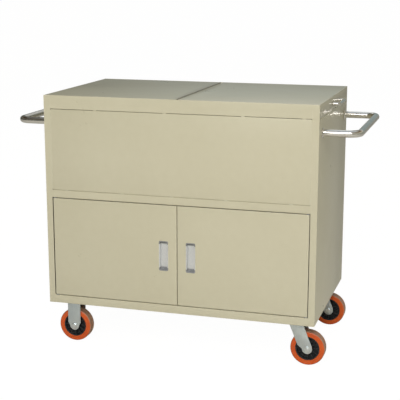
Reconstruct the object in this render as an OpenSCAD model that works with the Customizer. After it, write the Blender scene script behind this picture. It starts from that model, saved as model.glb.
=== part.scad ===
// Closed service cart of folded sheet steel: a deep top bin under two lift-up lids,
// a cupboard with two doors below it, a push handle at each end and four plate casters,
// fixed at the left end and swivelling at the right end.
// Frame: X along the length, the front faces -Y, Z is up, origin on the floor mid-way.

/* [Cabinet] */
// Length of the steel cabinet
cabinet_w = 1000; // [800:10:1300]
// Depth of the cabinet
cabinet_d = 600; // [480:10:760]
// Height of the cabinet, without its casters
cabinet_h = 775; // [640:5:950]
// Thickness of the cabinet's sheet
sheet = 1.5; // [1.2:0.1:2]
// Depth of the folds along the side panels' edges
side_fold = 18; // [14:1:19]

/* [Front frame] */
// Face width of the frame beside the doors
stile_w = 23.25; // [22:0.25:40]
// Face height of the rail under the doors
bottom_rail_h = 29.5; // [26:0.5:60]
// Height of the door opening
door_window_h = 372; // [280:1:420]
// Face height of the rail between the doors and the upper panel
mid_rail_h = 28; // [20:0.5:60]
// Face height of the rail over the upper panel
top_rail_h = 48.5; // [44:0.5:70]
// Depth of the folds along the lower rails
rail_fold = 40; // [36:1:50]
// Gap round the upper front panel
panel_gap = 1.5; // [1:0.1:2.5]
// Depth of the upper front panel's folded edge
panel_fold = 14; // [12:1:18]

/* [Decks and underframe] */
// Sheet thickness of decks, doors, lids and upper panel
thin_sheet = 1.2; // [1:0.1:1.4]
// Depth of the folded edges of the two decks
deck_fold = 20; // [15:1:24]
// Width of the channels that carry the casters
channel_w = 112; // [110:1:120]
// Sheet thickness of the caster channels
channel_t = 2.5; // [2:0.1:3]

/* [Doors] */
// Depth of the folded door tray
door_t = 18; // [16:0.5:20]
// Gap between the doors and the frame at top and bottom
door_gap = 3; // [2.5:0.1:4]
// Gap between the doors and the frame at the sides
door_side_gap = 2.75; // [2.6:0.05:3.5]
// Gap between the two doors
door_centre_gap = 2.5; // [2:0.1:4]
// Width of the inner lip of the door tray
door_lip = 14; // [10:1:16]
// Distance of the pivot from the door's edge and face
pivot_inset = 6; // [5.8:0.1:6]
// Radius of the pivot pins
pivot_r = 2.5; // [2:0.1:2.8]
// Width of the recessed door pull
pull_w = 35; // [28:1:45]
// Height of the recessed door pull
pull_h = 110; // [80:1:140]
// Depth of the pull's cup behind the door's face
pull_depth = 14; // [10:0.5:15]
// How far the pull's rim stands proud of the door
pull_proud = 1.2; // [0.8:0.1:2]
// Distance of the pull's middle from the cart's middle
pull_offset = 50.5; // [40:0.5:120]
// Height of the pull's middle above the door's lower edge
pull_height = 180; // [100:1:200]

/* [Lids] */
// Height of the lid's end flange
lid_flange_h = 49.5; // [44:0.5:52]
// Depth of the lid's front and rear folds
lid_fold = 14; // [12:1:30]
// Gap round the lids
lid_gap = 1; // [0.8:0.1:2]
// Distance from the cart's middle to a lid's inner edge
seam_half = 4.5; // [4.4:0.1:5.5]
// Radius of the hinge knuckles
knuckle_r = 3.3; // [3:0.1:3.6]
// Radius of the long hinge pin
hinge_pin_r = 1.5; // [1.2:0.1:1.7]
// Length of one hinge knuckle
knuckle_len = 15; // [12:1:25]
// Width of the beam under the seam
beam_w = 36; // [30:1:44]
// Depth of the beam under the seam
beam_h = 30; // [20:1:60]
// Distance between the legs of the lid's bow pull
bow_span = 120; // [90:1:160]
// How far the bow pull reaches out
bow_reach = 28; // [26:1:34]
// Radius of the bow pull's rod
bow_r = 5; // [3.5:0.5:5.5]
// How far the bow pull sits behind the lid's middle
bow_offset = 35; // [-60:1:60]
// Depth of the bow pull's middle below the top
bow_drop = 29; // [22:1:34]

/* [Push handles] */
// Radius of the handle tube
handle_r = 12.5; // [10:0.5:14]
// Wall of the handle tube
handle_wall = 1.5; // [1:0.1:2.5]
// Distance between the handle's two legs
handle_span = 480; // [360:1:520]
// How far the handle reaches out from the end panel
handle_reach = 138; // [100:1:160]
// Bend radius of the handle tube, to its middle line
handle_bend = 38; // [30:1:60]
// Depth of the handle below the cart's top
handle_drop = 102; // [85:1:160]
// Radius of the round flange at the foot of each leg
flange_r = 18; // [16:1:28]
// Thickness of that flange
flange_t = 3; // [2:0.5:5]

/* [Casters] */
// Height of a caster from the floor to its plate's top
caster_h = 165; // [160:1:180]
// Radius of the wheel
wheel_r = 62.5; // [50:0.5:65]
// Width of the tyre
tyre_w = 40; // [30:1:42]
// Rounding of the tyre's shoulders
shoulder_r = 6; // [2:0.5:7]
// Radius of the wheel's core
core_r = 44; // [36:0.5:45]
// Distance of the casters' middle from the cabinet's end
caster_inset_x = 75; // [72:1:110]
// Distance of the casters' middle from the cabinet's front and back
caster_inset_y = 75; // [74:1:110]
// Distance of the swivel wheel behind its king pin
caster_trail = 42; // [34:1:46]
// Length of the caster's plate along the cart
plate_l = 105; // [100:1:110]
// Width of the caster's plate across the cart
plate_w = 85; // [80:1:100]
// Thickness of the plate and fork
plate_t = 3.5; // [3:0.1:4]
// Gap between the fork's legs
fork_gap = 46; // [45:0.5:50]
// Width of the fork's legs at the top
leg_w = 50; // [46:1:52]
// Radius of the fork's rounded ends
fork_end_r = 18; // [13:0.5:19]
// Radius of the axle bolt
axle_r = 5; // [4:0.5:6]
// Radius of the king pin
king_r = 6; // [5:0.5:8]

/* [Fasteners] */
// Height of the rivet heads on the back
rivet_head = 1.2; // [0.8:0.1:1.5]
// Radius of the rivet heads
rivet_r = 4; // [3:0.5:5]

/* [Hidden] */
$fn = 48;

paint = [0.80, 0.78, 0.68];
zinc = [0.66, 0.70, 0.72];
stainless = [0.80, 0.80, 0.80];
orange = [0.85, 0.33, 0.12];
black = [0.08, 0.10, 0.11];
pale_alu = [0.84, 0.85, 0.86];
grey_plastic = [0.55, 0.57, 0.58];

// Clearances
run_fit = 0.06;     // radial, shaft in a turning hole
free_fit = 0.3;     // between faces that turn past each other
bolt_fit = 0.15;    // radial, bolt in its hole
eps = 0.01;         // overlap that makes a cut run right through

// Cabinet planes
half_w = cabinet_w / 2;
half_d = cabinet_d / 2;
z_bottom = caster_h;
z_top = caster_h + cabinet_h;
z_door0 = z_bottom + bottom_rail_h;
z_door1 = z_door0 + door_window_h;
z_panel0 = z_door1 + mid_rail_h;
z_panel1 = z_top - top_rail_h;
z_side_top = z_top - lid_flange_h - lid_gap;
window_half_w = half_w - stile_w;
panel_half_w = window_half_w - door_side_gap;
inner_half_w = half_w - sheet;
inner_half_d = half_d - 2 * sheet;
hem_h = 10;
side_top_fold = 16;
side_foot_fold = 10;

// Doors
door_x1 = window_half_w - door_side_gap;
door_x0 = door_centre_gap / 2;
door_z0 = z_door0 + door_gap;
door_z1 = z_door1 - door_gap;
pivot_x = door_x1 - pivot_inset;
pivot_y = -half_d + pivot_inset;
bush_wall = 1.5;
bush_collar_r = 5.5;
pivot_head_r = 4.2;
pivot_head_h = 3;
pivot_reach = 11;
pull_z = door_z0 + pull_height;
pull_rim = 2.5;
pull_wall = 1.2;
cap_h = 12;
catch_size = [45, 18, 14];

// Lids
hinge_z = z_top + 0.5;
lid_y = half_d - 2 * sheet - lid_gap;
lid_end_z = z_top - lid_flange_h;
lid_end_hem = 10;
leaf_t = 1.2;
leaf_w = 26;
leaf_z = z_top - thin_sheet - leaf_t;
knuckle_gap = 0.25;
knuckle_count = 4 * floor(2 * (half_d - 30) / knuckle_len / 4);
hinge_len = knuckle_count * knuckle_len;
beam_top = leaf_z - leaf_t - 1.4;
tab_t = 1.2;
bow_z = z_top - bow_drop;
bow_screw_r = 1.75;

// Push handles
handle_z = z_top - handle_drop;
handle_bolt_r = 4;
handle_plug = 18;

// Casters
caster_x = half_w - caster_inset_x;
caster_y = half_d - caster_inset_y;
plate_bolt_dx = 80;
plate_bolt_dy = 60;
plate_bolt_r = 4;
boss_h = 6.2;
boss_r = 22;
crown_r = fork_gap / 2 + plate_t + 0.5;
z_plate = caster_h - plate_t;
z_crown = z_plate - boss_h - free_fit;
cup_h = 4;
knee_rise = 12;
knee_run = 37;
hub_w = fork_gap - 2;
rim_w = tyre_w - 2;
rim_t = 5;
web_t = 8;
boss_hub_r = 17;
bearing_r = 13;
bearing_w = 8;
rib_count = 12;
rib_t = 3;
rib_w = 30;

// A box given by its low and high limits along X, Y and Z
module span_box(x, y, z)
    translate([x[0], y[0], z[0]]) cube([x[1] - x[0], y[1] - y[0], z[1] - z[0]]);

// Whatever is drawn for the right end, at the right (1) or the left (-1)
module at_end(side)
    if (side > 0) children(); else mirror([1, 0, 0]) children();

// A hexagon head or nut, across its corners' radius
module hexagon(r, h) cylinder(r = r, h = h, $fn = 6);

// ---------- Front frame ----------

// A fold that runs inwards from the frame's face, along the window's edge
module rail_return(half_length, z, depth)
    span_box([-half_length, half_length], [-half_d + sheet, -half_d + depth], [z, z + sheet]);

// Places of the screws that hold the upper panel, along X
function screw_xs() = [for (k = [-1, -1/3, 1/3, 1]) k * (panel_half_w - 60)];
screw_y = -half_d + panel_fold / 2 + 1;
screw_r = 1.75;

// The face with its two windows and folded rails, welded into one frame
module front_frame() color(paint) difference() {
    union() {
        difference() {
            span_box([-half_w, half_w], [-half_d, -half_d + sheet], [z_bottom, z_top]);
            span_box([-window_half_w, window_half_w], [-half_d - 1, -half_d + 2], [z_door0, z_door1]);
            span_box([-panel_half_w - panel_gap, panel_half_w + panel_gap],
                [-half_d - 1, -half_d + 2], [z_panel0, z_panel1]);
        }
        span_box([-half_w, half_w], [-half_d + sheet, -half_d + 2 * sheet], [z_top - hem_h, z_top]);
        rail_return(window_half_w, z_bottom, rail_fold);
        rail_return(window_half_w, z_door0 - sheet, rail_fold);
        rail_return(window_half_w, z_door1, rail_fold);
        rail_return(window_half_w, z_panel0 - sheet, rail_fold);
        rail_return(panel_half_w, z_panel1, rail_fold / 2);
    }
    for (side = [-1, 1], z = [z_door0 - sheet / 2, z_door1 + sheet / 2])
        translate([side * pivot_x, pivot_y, z])
            cylinder(r = pivot_r + bolt_fit, h = 2 * sheet, center = true);
    for (x = screw_xs(), z = [z_panel0 - sheet / 2, z_panel1 + sheet / 2])
        translate([x, screw_y, z]) cylinder(r = screw_r + bolt_fit, h = 2 * sheet, center = true);
}

// The fixed panel that closes the bin's front, with its edges folded inwards
module upper_front_panel() color(paint) difference() {
    span_box([-panel_half_w, panel_half_w], [-half_d, -half_d + panel_fold],
        [z_panel0 + panel_gap, z_panel1 - panel_gap]);
    span_box([-panel_half_w + thin_sheet, panel_half_w - thin_sheet],
        [-half_d + thin_sheet, -half_d + panel_fold + 1],
        [z_panel0 + panel_gap + thin_sheet, z_panel1 - panel_gap - thin_sheet]);
    for (x = screw_xs(), z = [z_panel0 + panel_gap, z_panel1 - panel_gap])
        translate([x, screw_y, z])
            cylinder(r = screw_r + bolt_fit, h = 3 * thin_sheet, center = true);
}

// Screws through the panel's folds into the rails' folds
module panel_screw() {
    cylinder(r = screw_r, h = 14);
    translate([0, 0, -2.4]) cylinder(r = 3.5, h = 2.4);
}
module front_panel_screws() color(zinc) for (x = screw_xs()) {
    translate([x, screw_y, z_panel1 - panel_gap - thin_sheet]) panel_screw();
    translate([x, screw_y, z_panel0 + panel_gap + thin_sheet]) mirror([0, 0, 1]) panel_screw();
}

// ---------- Sides, back and decks ----------

// An end panel with folds along all four edges and two bolt holes for the handle
module side_panel(side) color(paint) at_end(side) difference() {
    union() {
        span_box([inner_half_w, half_w], [-half_d + sheet, half_d - sheet], [z_bottom, z_side_top]);
        for (y = [-half_d + sheet, half_d - 2 * sheet])
            span_box([inner_half_w - side_fold, inner_half_w], [y, y + sheet],
                [z_bottom, z_side_top]);
        span_box([inner_half_w - side_top_fold, inner_half_w], [-inner_half_d, inner_half_d],
            [z_side_top - sheet, z_side_top]);
        span_box([inner_half_w - side_foot_fold, inner_half_w], [-inner_half_d, inner_half_d],
            [z_bottom, z_bottom + sheet]);
    }
    for (y = [-1, 1])
        translate([half_w, y * handle_span / 2, handle_z]) rotate([0, 90, 0])
            cylinder(r = handle_bolt_r + bolt_fit, h = 4 * sheet, center = true);
}

// Rivet places along the back's edges, as [x, z]
rivet_x = inner_half_w - side_fold / 2;
rivet_rows = 6;
function rivet_spots() = [for (side = [-1, 1], k = [0 : rivet_rows - 1])
    [side * rivet_x, z_bottom + 40 + k * (z_side_top - z_bottom - 80) / (rivet_rows - 1)]];

// The back sheet, hemmed along its top
module back_panel() color(paint) difference() {
    union() {
        span_box([-half_w, half_w], [half_d - sheet, half_d], [z_bottom, z_top]);
        span_box([-half_w, half_w], [inner_half_d, half_d - sheet], [z_top - hem_h, z_top]);
    }
    for (spot = rivet_spots())
        translate([spot[0], half_d, spot[1]]) rotate([90, 0, 0])
            cylinder(r = rivet_r / 2, h = 4 * sheet, center = true);
}

// Blind rivets that hold the back sheet
module back_panel_rivets() color(zinc) for (spot = rivet_spots())
    translate([spot[0], half_d, spot[1]]) rotate([-90, 0, 0]) difference() {
        union() {
            cylinder(r = rivet_r, h = rivet_head);
            translate([0, 0, -sheet]) cylinder(r = rivet_r / 2, h = sheet + eps);
        }
        translate([0, 0, rivet_head - 0.5]) cylinder(r = rivet_r / 3, h = 1);
    }

// A deck with its side and rear edges folded down
module deck(z, front_y) color(paint) {
    span_box([-inner_half_w, inner_half_w], [front_y, inner_half_d], [z, z + thin_sheet]);
    for (side = [-1, 1])
        at_end(side) span_box([inner_half_w - thin_sheet, inner_half_w],
            [-half_d + rail_fold + 2, inner_half_d], [z - deck_fold, z + eps]);
    span_box([-inner_half_w, inner_half_w], [inner_half_d - thin_sheet, inner_half_d],
        [z - deck_fold, z + eps]);
}

// Floor of the cupboard
module floor_pan() deck(z_door0, pivot_y + 8);

// Floor of the bin, screwed down together with the upper panel
module middle_deck() difference() {
    deck(z_panel0, -inner_half_d);
    for (x = screw_xs())
        translate([x, screw_y, z_panel0]) cylinder(r = screw_r + bolt_fit, h = 6, center = true);
}

// A channel under the floor, with the caster bolts' and king pin's holes
module caster_channel(side) color(paint) at_end(side) difference() {
    union() {
        span_box([caster_x - channel_w / 2, caster_x + channel_w / 2],
            [-half_d + rail_fold + 1, half_d - 2 * sheet - 3], [z_bottom, z_bottom + channel_t]);
        for (x = [caster_x - channel_w / 2, caster_x + channel_w / 2 - channel_t])
            span_box([x, x + channel_t], [-half_d + rail_fold + 1, half_d - 2 * sheet - 3],
                [z_bottom, z_door0]);
    }
    for (y = [-1, 1]) translate([caster_x, y * caster_y, z_bottom]) plate_holes(3 * channel_t);
}

// ---------- Lids and their hinge ----------

// The beam that runs from front to back under the seam between the lids
module lid_centre_beam() color(paint) difference() {
    span_box([-beam_w / 2, beam_w / 2], [-inner_half_d, inner_half_d], [beam_top - beam_h, beam_top]);
    span_box([-beam_w / 2 + sheet, beam_w / 2 - sheet], [-half_d, half_d],
        [beam_top - beam_h - 1, beam_top - sheet]);
}

// One lid: a flat tray with a deep flange at the end
module lid(side) color(paint) at_end(side) difference() {
    union() {
        span_box([seam_half, half_w], [-lid_y, lid_y], [z_top - thin_sheet, z_top]);
        span_box([half_w - thin_sheet, half_w], [-lid_y, lid_y], [lid_end_z, z_top]);
        span_box([half_w - lid_end_hem, half_w], [-lid_y, lid_y],
            [lid_end_z, lid_end_z + thin_sheet]);
        for (y = [-lid_y, lid_y - thin_sheet])
            span_box([beam_w / 2 + 8, half_w - eps], [y, y + thin_sheet],
                [z_top - thin_sheet - lid_fold, z_top - eps]);
    }
    for (y = [-1, 1])
        translate([half_w, bow_offset + y * bow_span / 2, bow_z]) rotate([0, 90, 0])
            cylinder(r = bow_screw_r + bolt_fit, h = 6 * thin_sheet, center = true);
}

// Knuckles taken by one leaf out of each group of four, from the first one's number
module knuckles(first, step) for (k = [first : step : knuckle_count - 1])
    translate([0, -hinge_len / 2 + k * knuckle_len + knuckle_gap, hinge_z]) rotate([-90, 0, 0])
        cylinder(r = knuckle_r, h = knuckle_len - 2 * knuckle_gap, $fn = 32);

module hinge_bore(clearance) translate([0, 0, hinge_z]) rotate([90, 0, 0])
    cylinder(r = hinge_pin_r + clearance, h = hinge_len + 4, center = true, $fn = 32);

// The hinge leaf that is fixed on the beam
module beam_hinge_leaf() color(zinc) difference() {
    union() {
        span_box([-12, 12], [-hinge_len / 2, hinge_len / 2], [beam_top, beam_top + leaf_t]);
        knuckles(0, 2);
        for (k = [0 : 2 : knuckle_count - 1])
            translate([-tab_t / 2, -hinge_len / 2 + k * knuckle_len + knuckle_gap, beam_top])
                cube([tab_t, knuckle_len - 2 * knuckle_gap, hinge_z - beam_top]);
    }
    hinge_bore(run_fit);
}

// The hinge leaf under a lid's inner edge; the left and right ones take turns
module lid_hinge_leaf(side) color(zinc) at_end(side) difference() {
    first = side > 0 ? 1 : 3;
    union() {
        span_box([seam_half, seam_half + leaf_w], [-hinge_len / 2, hinge_len / 2],
            [leaf_z, leaf_z + leaf_t]);
        knuckles(first, 4);
        for (k = [first : 4 : knuckle_count - 1])
            translate([1, -hinge_len / 2 + k * knuckle_len + knuckle_gap, leaf_z])
                cube([seam_half, knuckle_len - 2 * knuckle_gap, leaf_t]);
    }
    hinge_bore(run_fit);
}

module lid_hinge_pin() color(zinc) translate([0, 0, hinge_z]) rotate([90, 0, 0])
    cylinder(r = hinge_pin_r, h = hinge_len + 2, center = true, $fn = 32);

// A bent rod in the XY plane: two legs along X and a bar along Y
module bent_rod(span, reach, bend, r, start) {
    for (y = [-1, 1]) {
        translate([start, y * span / 2, 0]) rotate([0, 90, 0])
            cylinder(r = r, h = reach - bend - start);
        mirror([0, y < 0 ? 1 : 0, 0]) translate([reach - bend, span / 2 - bend, 0])
            rotate_extrude(angle = 90) translate([bend, 0]) circle(r = r);
    }
    translate([reach, 0, 0]) rotate([90, 0, 0])
        cylinder(r = r, h = span - 2 * bend, center = true);
}

// The bow pull on a lid's end flange, tapped at both feet
module lid_pull(side) color(stainless) at_end(side) translate([half_w, bow_offset, bow_z])
    difference() {
        union() {
            bent_rod(bow_span, bow_reach - bow_r, 10, bow_r, 0);
            for (y = [-1, 1]) translate([0, y * bow_span / 2, 0]) rotate([0, 90, 0])
                cylinder(r = bow_r + 2.5, h = 2);
        }
        for (y = [-1, 1]) translate([-1, y * bow_span / 2, 0]) rotate([0, 90, 0])
            cylinder(r = bow_screw_r, h = 9);
    }

// Screws into the bow pull's feet from inside the flange
module lid_pull_screws(side) color(zinc) at_end(side) for (y = [-1, 1])
    translate([half_w, bow_offset + y * bow_span / 2, bow_z]) rotate([0, 90, 0]) {
        translate([0, 0, -thin_sheet - 2.5]) cylinder(r = 4, h = 2.5);
        translate([0, 0, -thin_sheet - eps]) cylinder(r = bow_screw_r, h = 8);
    }

// ---------- Doors ----------

// A door: a skin with folded edges and lips, and a cut-out for its pull
module door(side) color(paint) at_end(side) difference() {
    span_box([door_x0, door_x1], [-half_d, -half_d + door_t], [door_z0, door_z1]);
    span_box([door_x0 + thin_sheet, door_x1 - thin_sheet],
        [-half_d + thin_sheet, -half_d + door_t - thin_sheet],
        [door_z0 + thin_sheet, door_z1 - thin_sheet]);
    span_box([door_x0 + door_lip, door_x1 - door_lip],
        [-half_d + thin_sheet, -half_d + door_t + 1],
        [door_z0 + door_lip, door_z1 - door_lip]);
    span_box([pull_offset - pull_w / 2 + pull_rim, pull_offset + pull_w / 2 - pull_rim],
        [-half_d - 1, -half_d + 2],
        [pull_z - pull_h / 2 + pull_rim, pull_z + pull_h / 2 - pull_rim]);
    for (z = [door_z0, door_z1]) translate([pivot_x, pivot_y, z])
        cylinder(r = pivot_r + bush_wall, h = 4 * thin_sheet, center = true);
}

// The recessed pull: a shallow cup behind a thin rim, held between its two end caps
module door_pull(side) color(pale_alu) at_end(side)
    translate([pull_offset, -half_d, pull_z]) difference() {
        union() {
            span_box([-pull_w / 2, pull_w / 2], [-pull_proud, 0],
                [-pull_h / 2 + cap_h, pull_h / 2 - cap_h]);
            span_box([-pull_w / 2 + pull_rim, pull_w / 2 - pull_rim], [-eps, pull_depth],
                [-pull_h / 2 + cap_h, pull_h / 2 - cap_h]);
        }
        span_box([-pull_w / 2 + pull_rim + pull_wall, pull_w / 2 - pull_rim - pull_wall],
            [-pull_proud - 1, pull_depth - pull_wall],
            [-pull_h / 2 + cap_h - 1, pull_h / 2 - cap_h + 1]);
    }

// The caps that close the cup at its top and bottom
module pull_end_caps(side) color(grey_plastic) at_end(side)
    translate([pull_offset, -half_d, pull_z]) for (up = [0, 1]) mirror([0, 0, up])
        difference() {
            union() {
                span_box([-pull_w / 2, pull_w / 2], [-pull_proud, 0],
                    [pull_h / 2 - cap_h, pull_h / 2]);
                span_box([-pull_w / 2 + pull_rim, pull_w / 2 - pull_rim], [-eps, pull_depth],
                    [pull_h / 2 - cap_h, pull_h / 2 - pull_rim]);
            }
            span_box([-pull_w / 2 + pull_rim + pull_wall, pull_w / 2 - pull_rim - pull_wall],
                [-pull_proud - 1, pull_depth - pull_wall],
                [pull_h / 2 - cap_h - 1, pull_h / 2 - pull_rim - pull_wall]);
        }

// Nylon bushes in the door's upper and lower folds, with a collar in the gap
module door_bushes(side) color(grey_plastic) at_end(side) translate([pivot_x, pivot_y, 0])
    for (z = [door_z0, door_z1]) translate([0, 0, z]) mirror([0, 0, z == door_z0 ? 1 : 0])
        difference() {
            union() {
                translate([0, 0, -6]) cylinder(r = pivot_r + bush_wall, h = 6 + eps);
                cylinder(r = bush_collar_r, h = door_gap - free_fit);
            }
            translate([0, 0, -7]) cylinder(r = pivot_r + run_fit, h = 8 + door_gap);
        }

// Pivot pins in the rails' folds, headed so that they can't drop through
module door_pivot_pins() color(zinc) for (side = [-1, 1], up = [0, 1])
    translate([side * pivot_x, pivot_y, up == 1 ? z_door1 : z_door0])
        mirror([0, 0, 1 - up]) union() {
            translate([0, 0, -pivot_reach]) cylinder(r = pivot_r, h = pivot_reach + sheet + eps);
            translate([0, 0, sheet]) cylinder(r = pivot_head_r, h = pivot_head_h);
        }

// Magnetic catches under the middle rail, just behind the doors' inner lips
module door_catches() color(grey_plastic) for (side = [-1, 1]) at_end(side)
    translate([door_x0 + 12, -half_d + door_t + free_fit, z_door1 - catch_size[2]])
        difference() {
            cube(catch_size);
            translate([6, 3, -1]) cube([catch_size[0] - 12, catch_size[1] - 6, 5]);
        }

// ---------- Push handles ----------

// A bent tube, closed at both feet by welded, tapped plugs that stand on the flanges
module push_handle(side) color(stainless) at_end(side)
    translate([half_w + flange_t, 0, handle_z]) difference() {
        reach = handle_reach - handle_r - flange_t;
        bent_rod(handle_span, reach, handle_bend, handle_r, 0);
        bent_rod(handle_span, reach, handle_bend, handle_r - handle_wall, handle_plug);
        for (y = [-1, 1]) translate([-1, y * handle_span / 2, 0]) rotate([0, 90, 0])
            cylinder(r = handle_bolt_r, h = handle_plug + 2);
    }

// The round flanges between the handles' feet and the end panels
module handle_flanges() color(stainless) for (side = [-1, 1], y = [-1, 1]) at_end(side)
    translate([half_w, y * handle_span / 2, handle_z]) rotate([0, 90, 0]) difference() {
        cylinder(r = flange_r, h = flange_t);
        translate([0, 0, -1]) cylinder(r = handle_bolt_r + bolt_fit, h = flange_t + 2);
    }

// Bolts into the handles' plugs from inside the end panels
module handle_bolts() color(zinc) for (side = [-1, 1], y = [-1, 1]) at_end(side)
    translate([half_w - sheet, y * handle_span / 2, handle_z]) rotate([0, 90, 0]) union() {
        translate([0, 0, -2]) cylinder(r = 9, h = 2);
        translate([0, 0, -7]) rotate([0, 0, 30]) hexagon(7.5, 5 + eps);
        translate([0, 0, -eps]) cylinder(r = handle_bolt_r, h = 16);
    }

// ---------- Casters ----------

// Which end (1 right, -1 left) and which side (-1 front, 1 rear) a caster is at
module at_corner(end, side) translate([end * caster_x, side * caster_y, 0]) children();

// The four bolt holes and the king pin's hole, for plates and channels
module plate_holes(depth) {
    for (x = [-1, 1], y = [-1, 1])
        translate([x * plate_bolt_dx / 2, y * plate_bolt_dy / 2, 0])
            cylinder(r = plate_bolt_r + bolt_fit, h = depth, center = true);
}

// Bolts and nuts that hold the four plates to the channels
module caster_bolts() color(zinc) for (end = [-1, 1], side = [-1, 1]) at_corner(end, side)
    for (x = [-1, 1], y = [-1, 1])
        translate([x * plate_bolt_dx / 2, y * plate_bolt_dy / 2, z_plate]) union() {
            translate([0, 0, -5]) hexagon(7, 5);
            translate([0, 0, -eps]) cylinder(r = plate_bolt_r, h = plate_t + channel_t + 9);
            translate([0, 0, plate_t + channel_t]) hexagon(7, 6.5);
        }

// Where the line from p touches a circle round c; side picks which of the two
function touch_point(p, c, r, side) =
    let (d = norm(p - c), a = atan2(p[1] - c[1], p[0] - c[0]), b = acos(r / d))
    [c[0] + r * cos(a + side * b), c[1] + r * sin(a + side * b)];

// One edge of a leg in the XZ plane: from the top, round a knee, to the round end
function leg_edge(top, knee, axle, side) = [top, knee, touch_point(knee, axle, fork_end_r, side)];

// An upright leg has a knee in both edges
function upright_leg(top_z) =
    let (axle = [0, wheel_r], half = leg_w / 2, knee_z = wheel_r + knee_rise)
    concat(leg_edge([-half, top_z], [-half, knee_z], axle, 1), [axle],
        [touch_point([half, knee_z], axle, fork_end_r, -1), [half, knee_z], [half, top_z]]);

// A raked leg runs straight to the round end along its rear edge
function raked_leg(top_z, trail) =
    let (axle = [trail, wheel_r], half = leg_w / 2)
    concat(leg_edge([-half, top_z], [trail - knee_run, wheel_r + knee_rise], axle, 1), [axle],
        [touch_point([half, top_z], axle, fork_end_r, -1), [half, top_z]]);

// Both legs of an outline, drilled for the axle
module fork_legs(outline, trail) difference() {
    for (y = [-fork_gap / 2, fork_gap / 2 + plate_t])
        translate([0, y, 0]) rotate([90, 0, 0]) linear_extrude(plate_t) union() {
            polygon(outline);
            translate([trail, wheel_r]) circle(r = fork_end_r);
        }
    translate([trail, 0, wheel_r]) rotate([90, 0, 0])
        cylinder(r = axle_r + bolt_fit, h = fork_gap + 20, center = true);
}

module plate_blank() difference() {
    translate([-plate_l / 2, -plate_w / 2, z_plate]) cube([plate_l, plate_w, plate_t]);
    translate([0, 0, caster_h]) plate_holes(4 * plate_t);
}

// A fixed caster's bracket: plate and fork in one
module fixed_bracket(side) color(zinc) at_corner(-1, side) {
    plate_blank();
    fork_legs(upright_leg(z_plate + eps), 0);
}

// A swivel caster's plate, with the upper race as a boss below it
module swivel_plate(side) color(zinc) at_corner(1, side) difference() {
    union() {
        plate_blank();
        translate([0, 0, z_plate - boss_h]) cylinder(r = boss_r, h = boss_h + eps);
    }
    translate([0, 0, z_plate - boss_h - 1]) cylinder(r = king_r, h = boss_h + plate_t + 2);
}

// The king pin, riveted in the plate, with its head under the fork's crown
module king_pin(side) color(zinc) at_corner(1, side) {
    translate([0, 0, z_crown - plate_t - free_fit - 7]) hexagon(11, 7 + eps);
    translate([0, 0, z_crown - plate_t - free_fit]) cylinder(r = king_r,
        h = caster_h - 0.5 - (z_crown - plate_t - free_fit));
}

// The turning fork: a crown with the lower race's cup, and two raked legs
module swivel_fork(side) color(zinc) at_corner(1, side) {
    difference() {
        union() {
            translate([0, 0, z_crown - plate_t]) cylinder(r = crown_r, h = plate_t);
            translate([0, 0, z_crown - eps]) difference() {
                cylinder(r = crown_r, h = cup_h);
                translate([0, 0, -1]) cylinder(r = boss_r + 0.8, h = cup_h + 2);
            }
            span_box([-leg_w / 2, leg_w / 2],
                [-fork_gap / 2 - plate_t, fork_gap / 2 + plate_t], [z_crown - plate_t, z_crown]);
        }
        translate([0, 0, z_crown - 2 * plate_t]) cylinder(r = king_r + run_fit, h = 4 * plate_t);
    }
    fork_legs(raked_leg(z_crown - plate_t + eps, caster_trail), caster_trail);
}

// An axle bolt with its head in front and its nut behind, along Y
module axle_bolt() translate([0, 0, wheel_r]) rotate([90, 0, 0]) union() {
    half = fork_gap / 2 + plate_t;
    translate([0, 0, -half - 10]) cylinder(r = axle_r, h = 2 * half + 10 + eps);
    translate([0, 0, half]) hexagon(9, 6);
    translate([0, 0, -half - 8]) hexagon(9, 8);
}
module left_axle_bolts() color(zinc) for (side = [-1, 1]) at_corner(-1, side) axle_bolt();
module right_axle_bolt(side) color(zinc) at_corner(1, side)
    translate([caster_trail, 0, 0]) axle_bolt();

// A wheel's place, with the wheel drawn round Z
module at_wheel(end, side) at_corner(end, side)
    translate([end > 0 ? caster_trail : 0, 0, wheel_r]) rotate([90, 0, 0]) children();

// Moulded wheel core: rim, web, ribs and a long boss for the bearings
module hub(end, side) color(black) at_wheel(end, side) difference() {
    union() {
        difference() {
            cylinder(r = core_r, h = rim_w, center = true);
            cylinder(r = core_r - rim_t, h = rim_w + 2, center = true);
        }
        cylinder(r = core_r - 1, h = web_t, center = true);
        cylinder(r = boss_hub_r, h = hub_w, center = true);
        for (k = [0 : rib_count - 1]) rotate([0, 0, k * 360 / rib_count])
            translate([boss_hub_r - 2, -rib_t / 2, -rib_w / 2])
                cube([core_r - rim_t / 2 - boss_hub_r + 2, rib_t, rib_w]);
    }
    cylinder(r = axle_r + 2, h = hub_w + 2, center = true);
    for (k = [-1, 1]) translate([0, 0, k * (hub_w - bearing_w) / 2])
        cylinder(r = bearing_r, h = bearing_w + eps * 2, center = true);
}

// Moulded tyre with rounded shoulders, bonded round the core
module tyre(end, side) color(orange) at_wheel(end, side) rotate_extrude($fn = 96) {
    square_r = wheel_r - shoulder_r;
    half = tyre_w / 2;
    difference() {
        union() {
            translate([core_r, -half]) square([square_r - core_r, tyre_w]);
            translate([core_r, -half + shoulder_r])
                square([wheel_r - core_r, tyre_w - 2 * shoulder_r]);
            for (y = [-1, 1]) translate([square_r, y * (half - shoulder_r)])
                circle(r = shoulder_r);
        }
        translate([core_r - 10, -half]) square([10, tyre_w]);
    }
}

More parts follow.
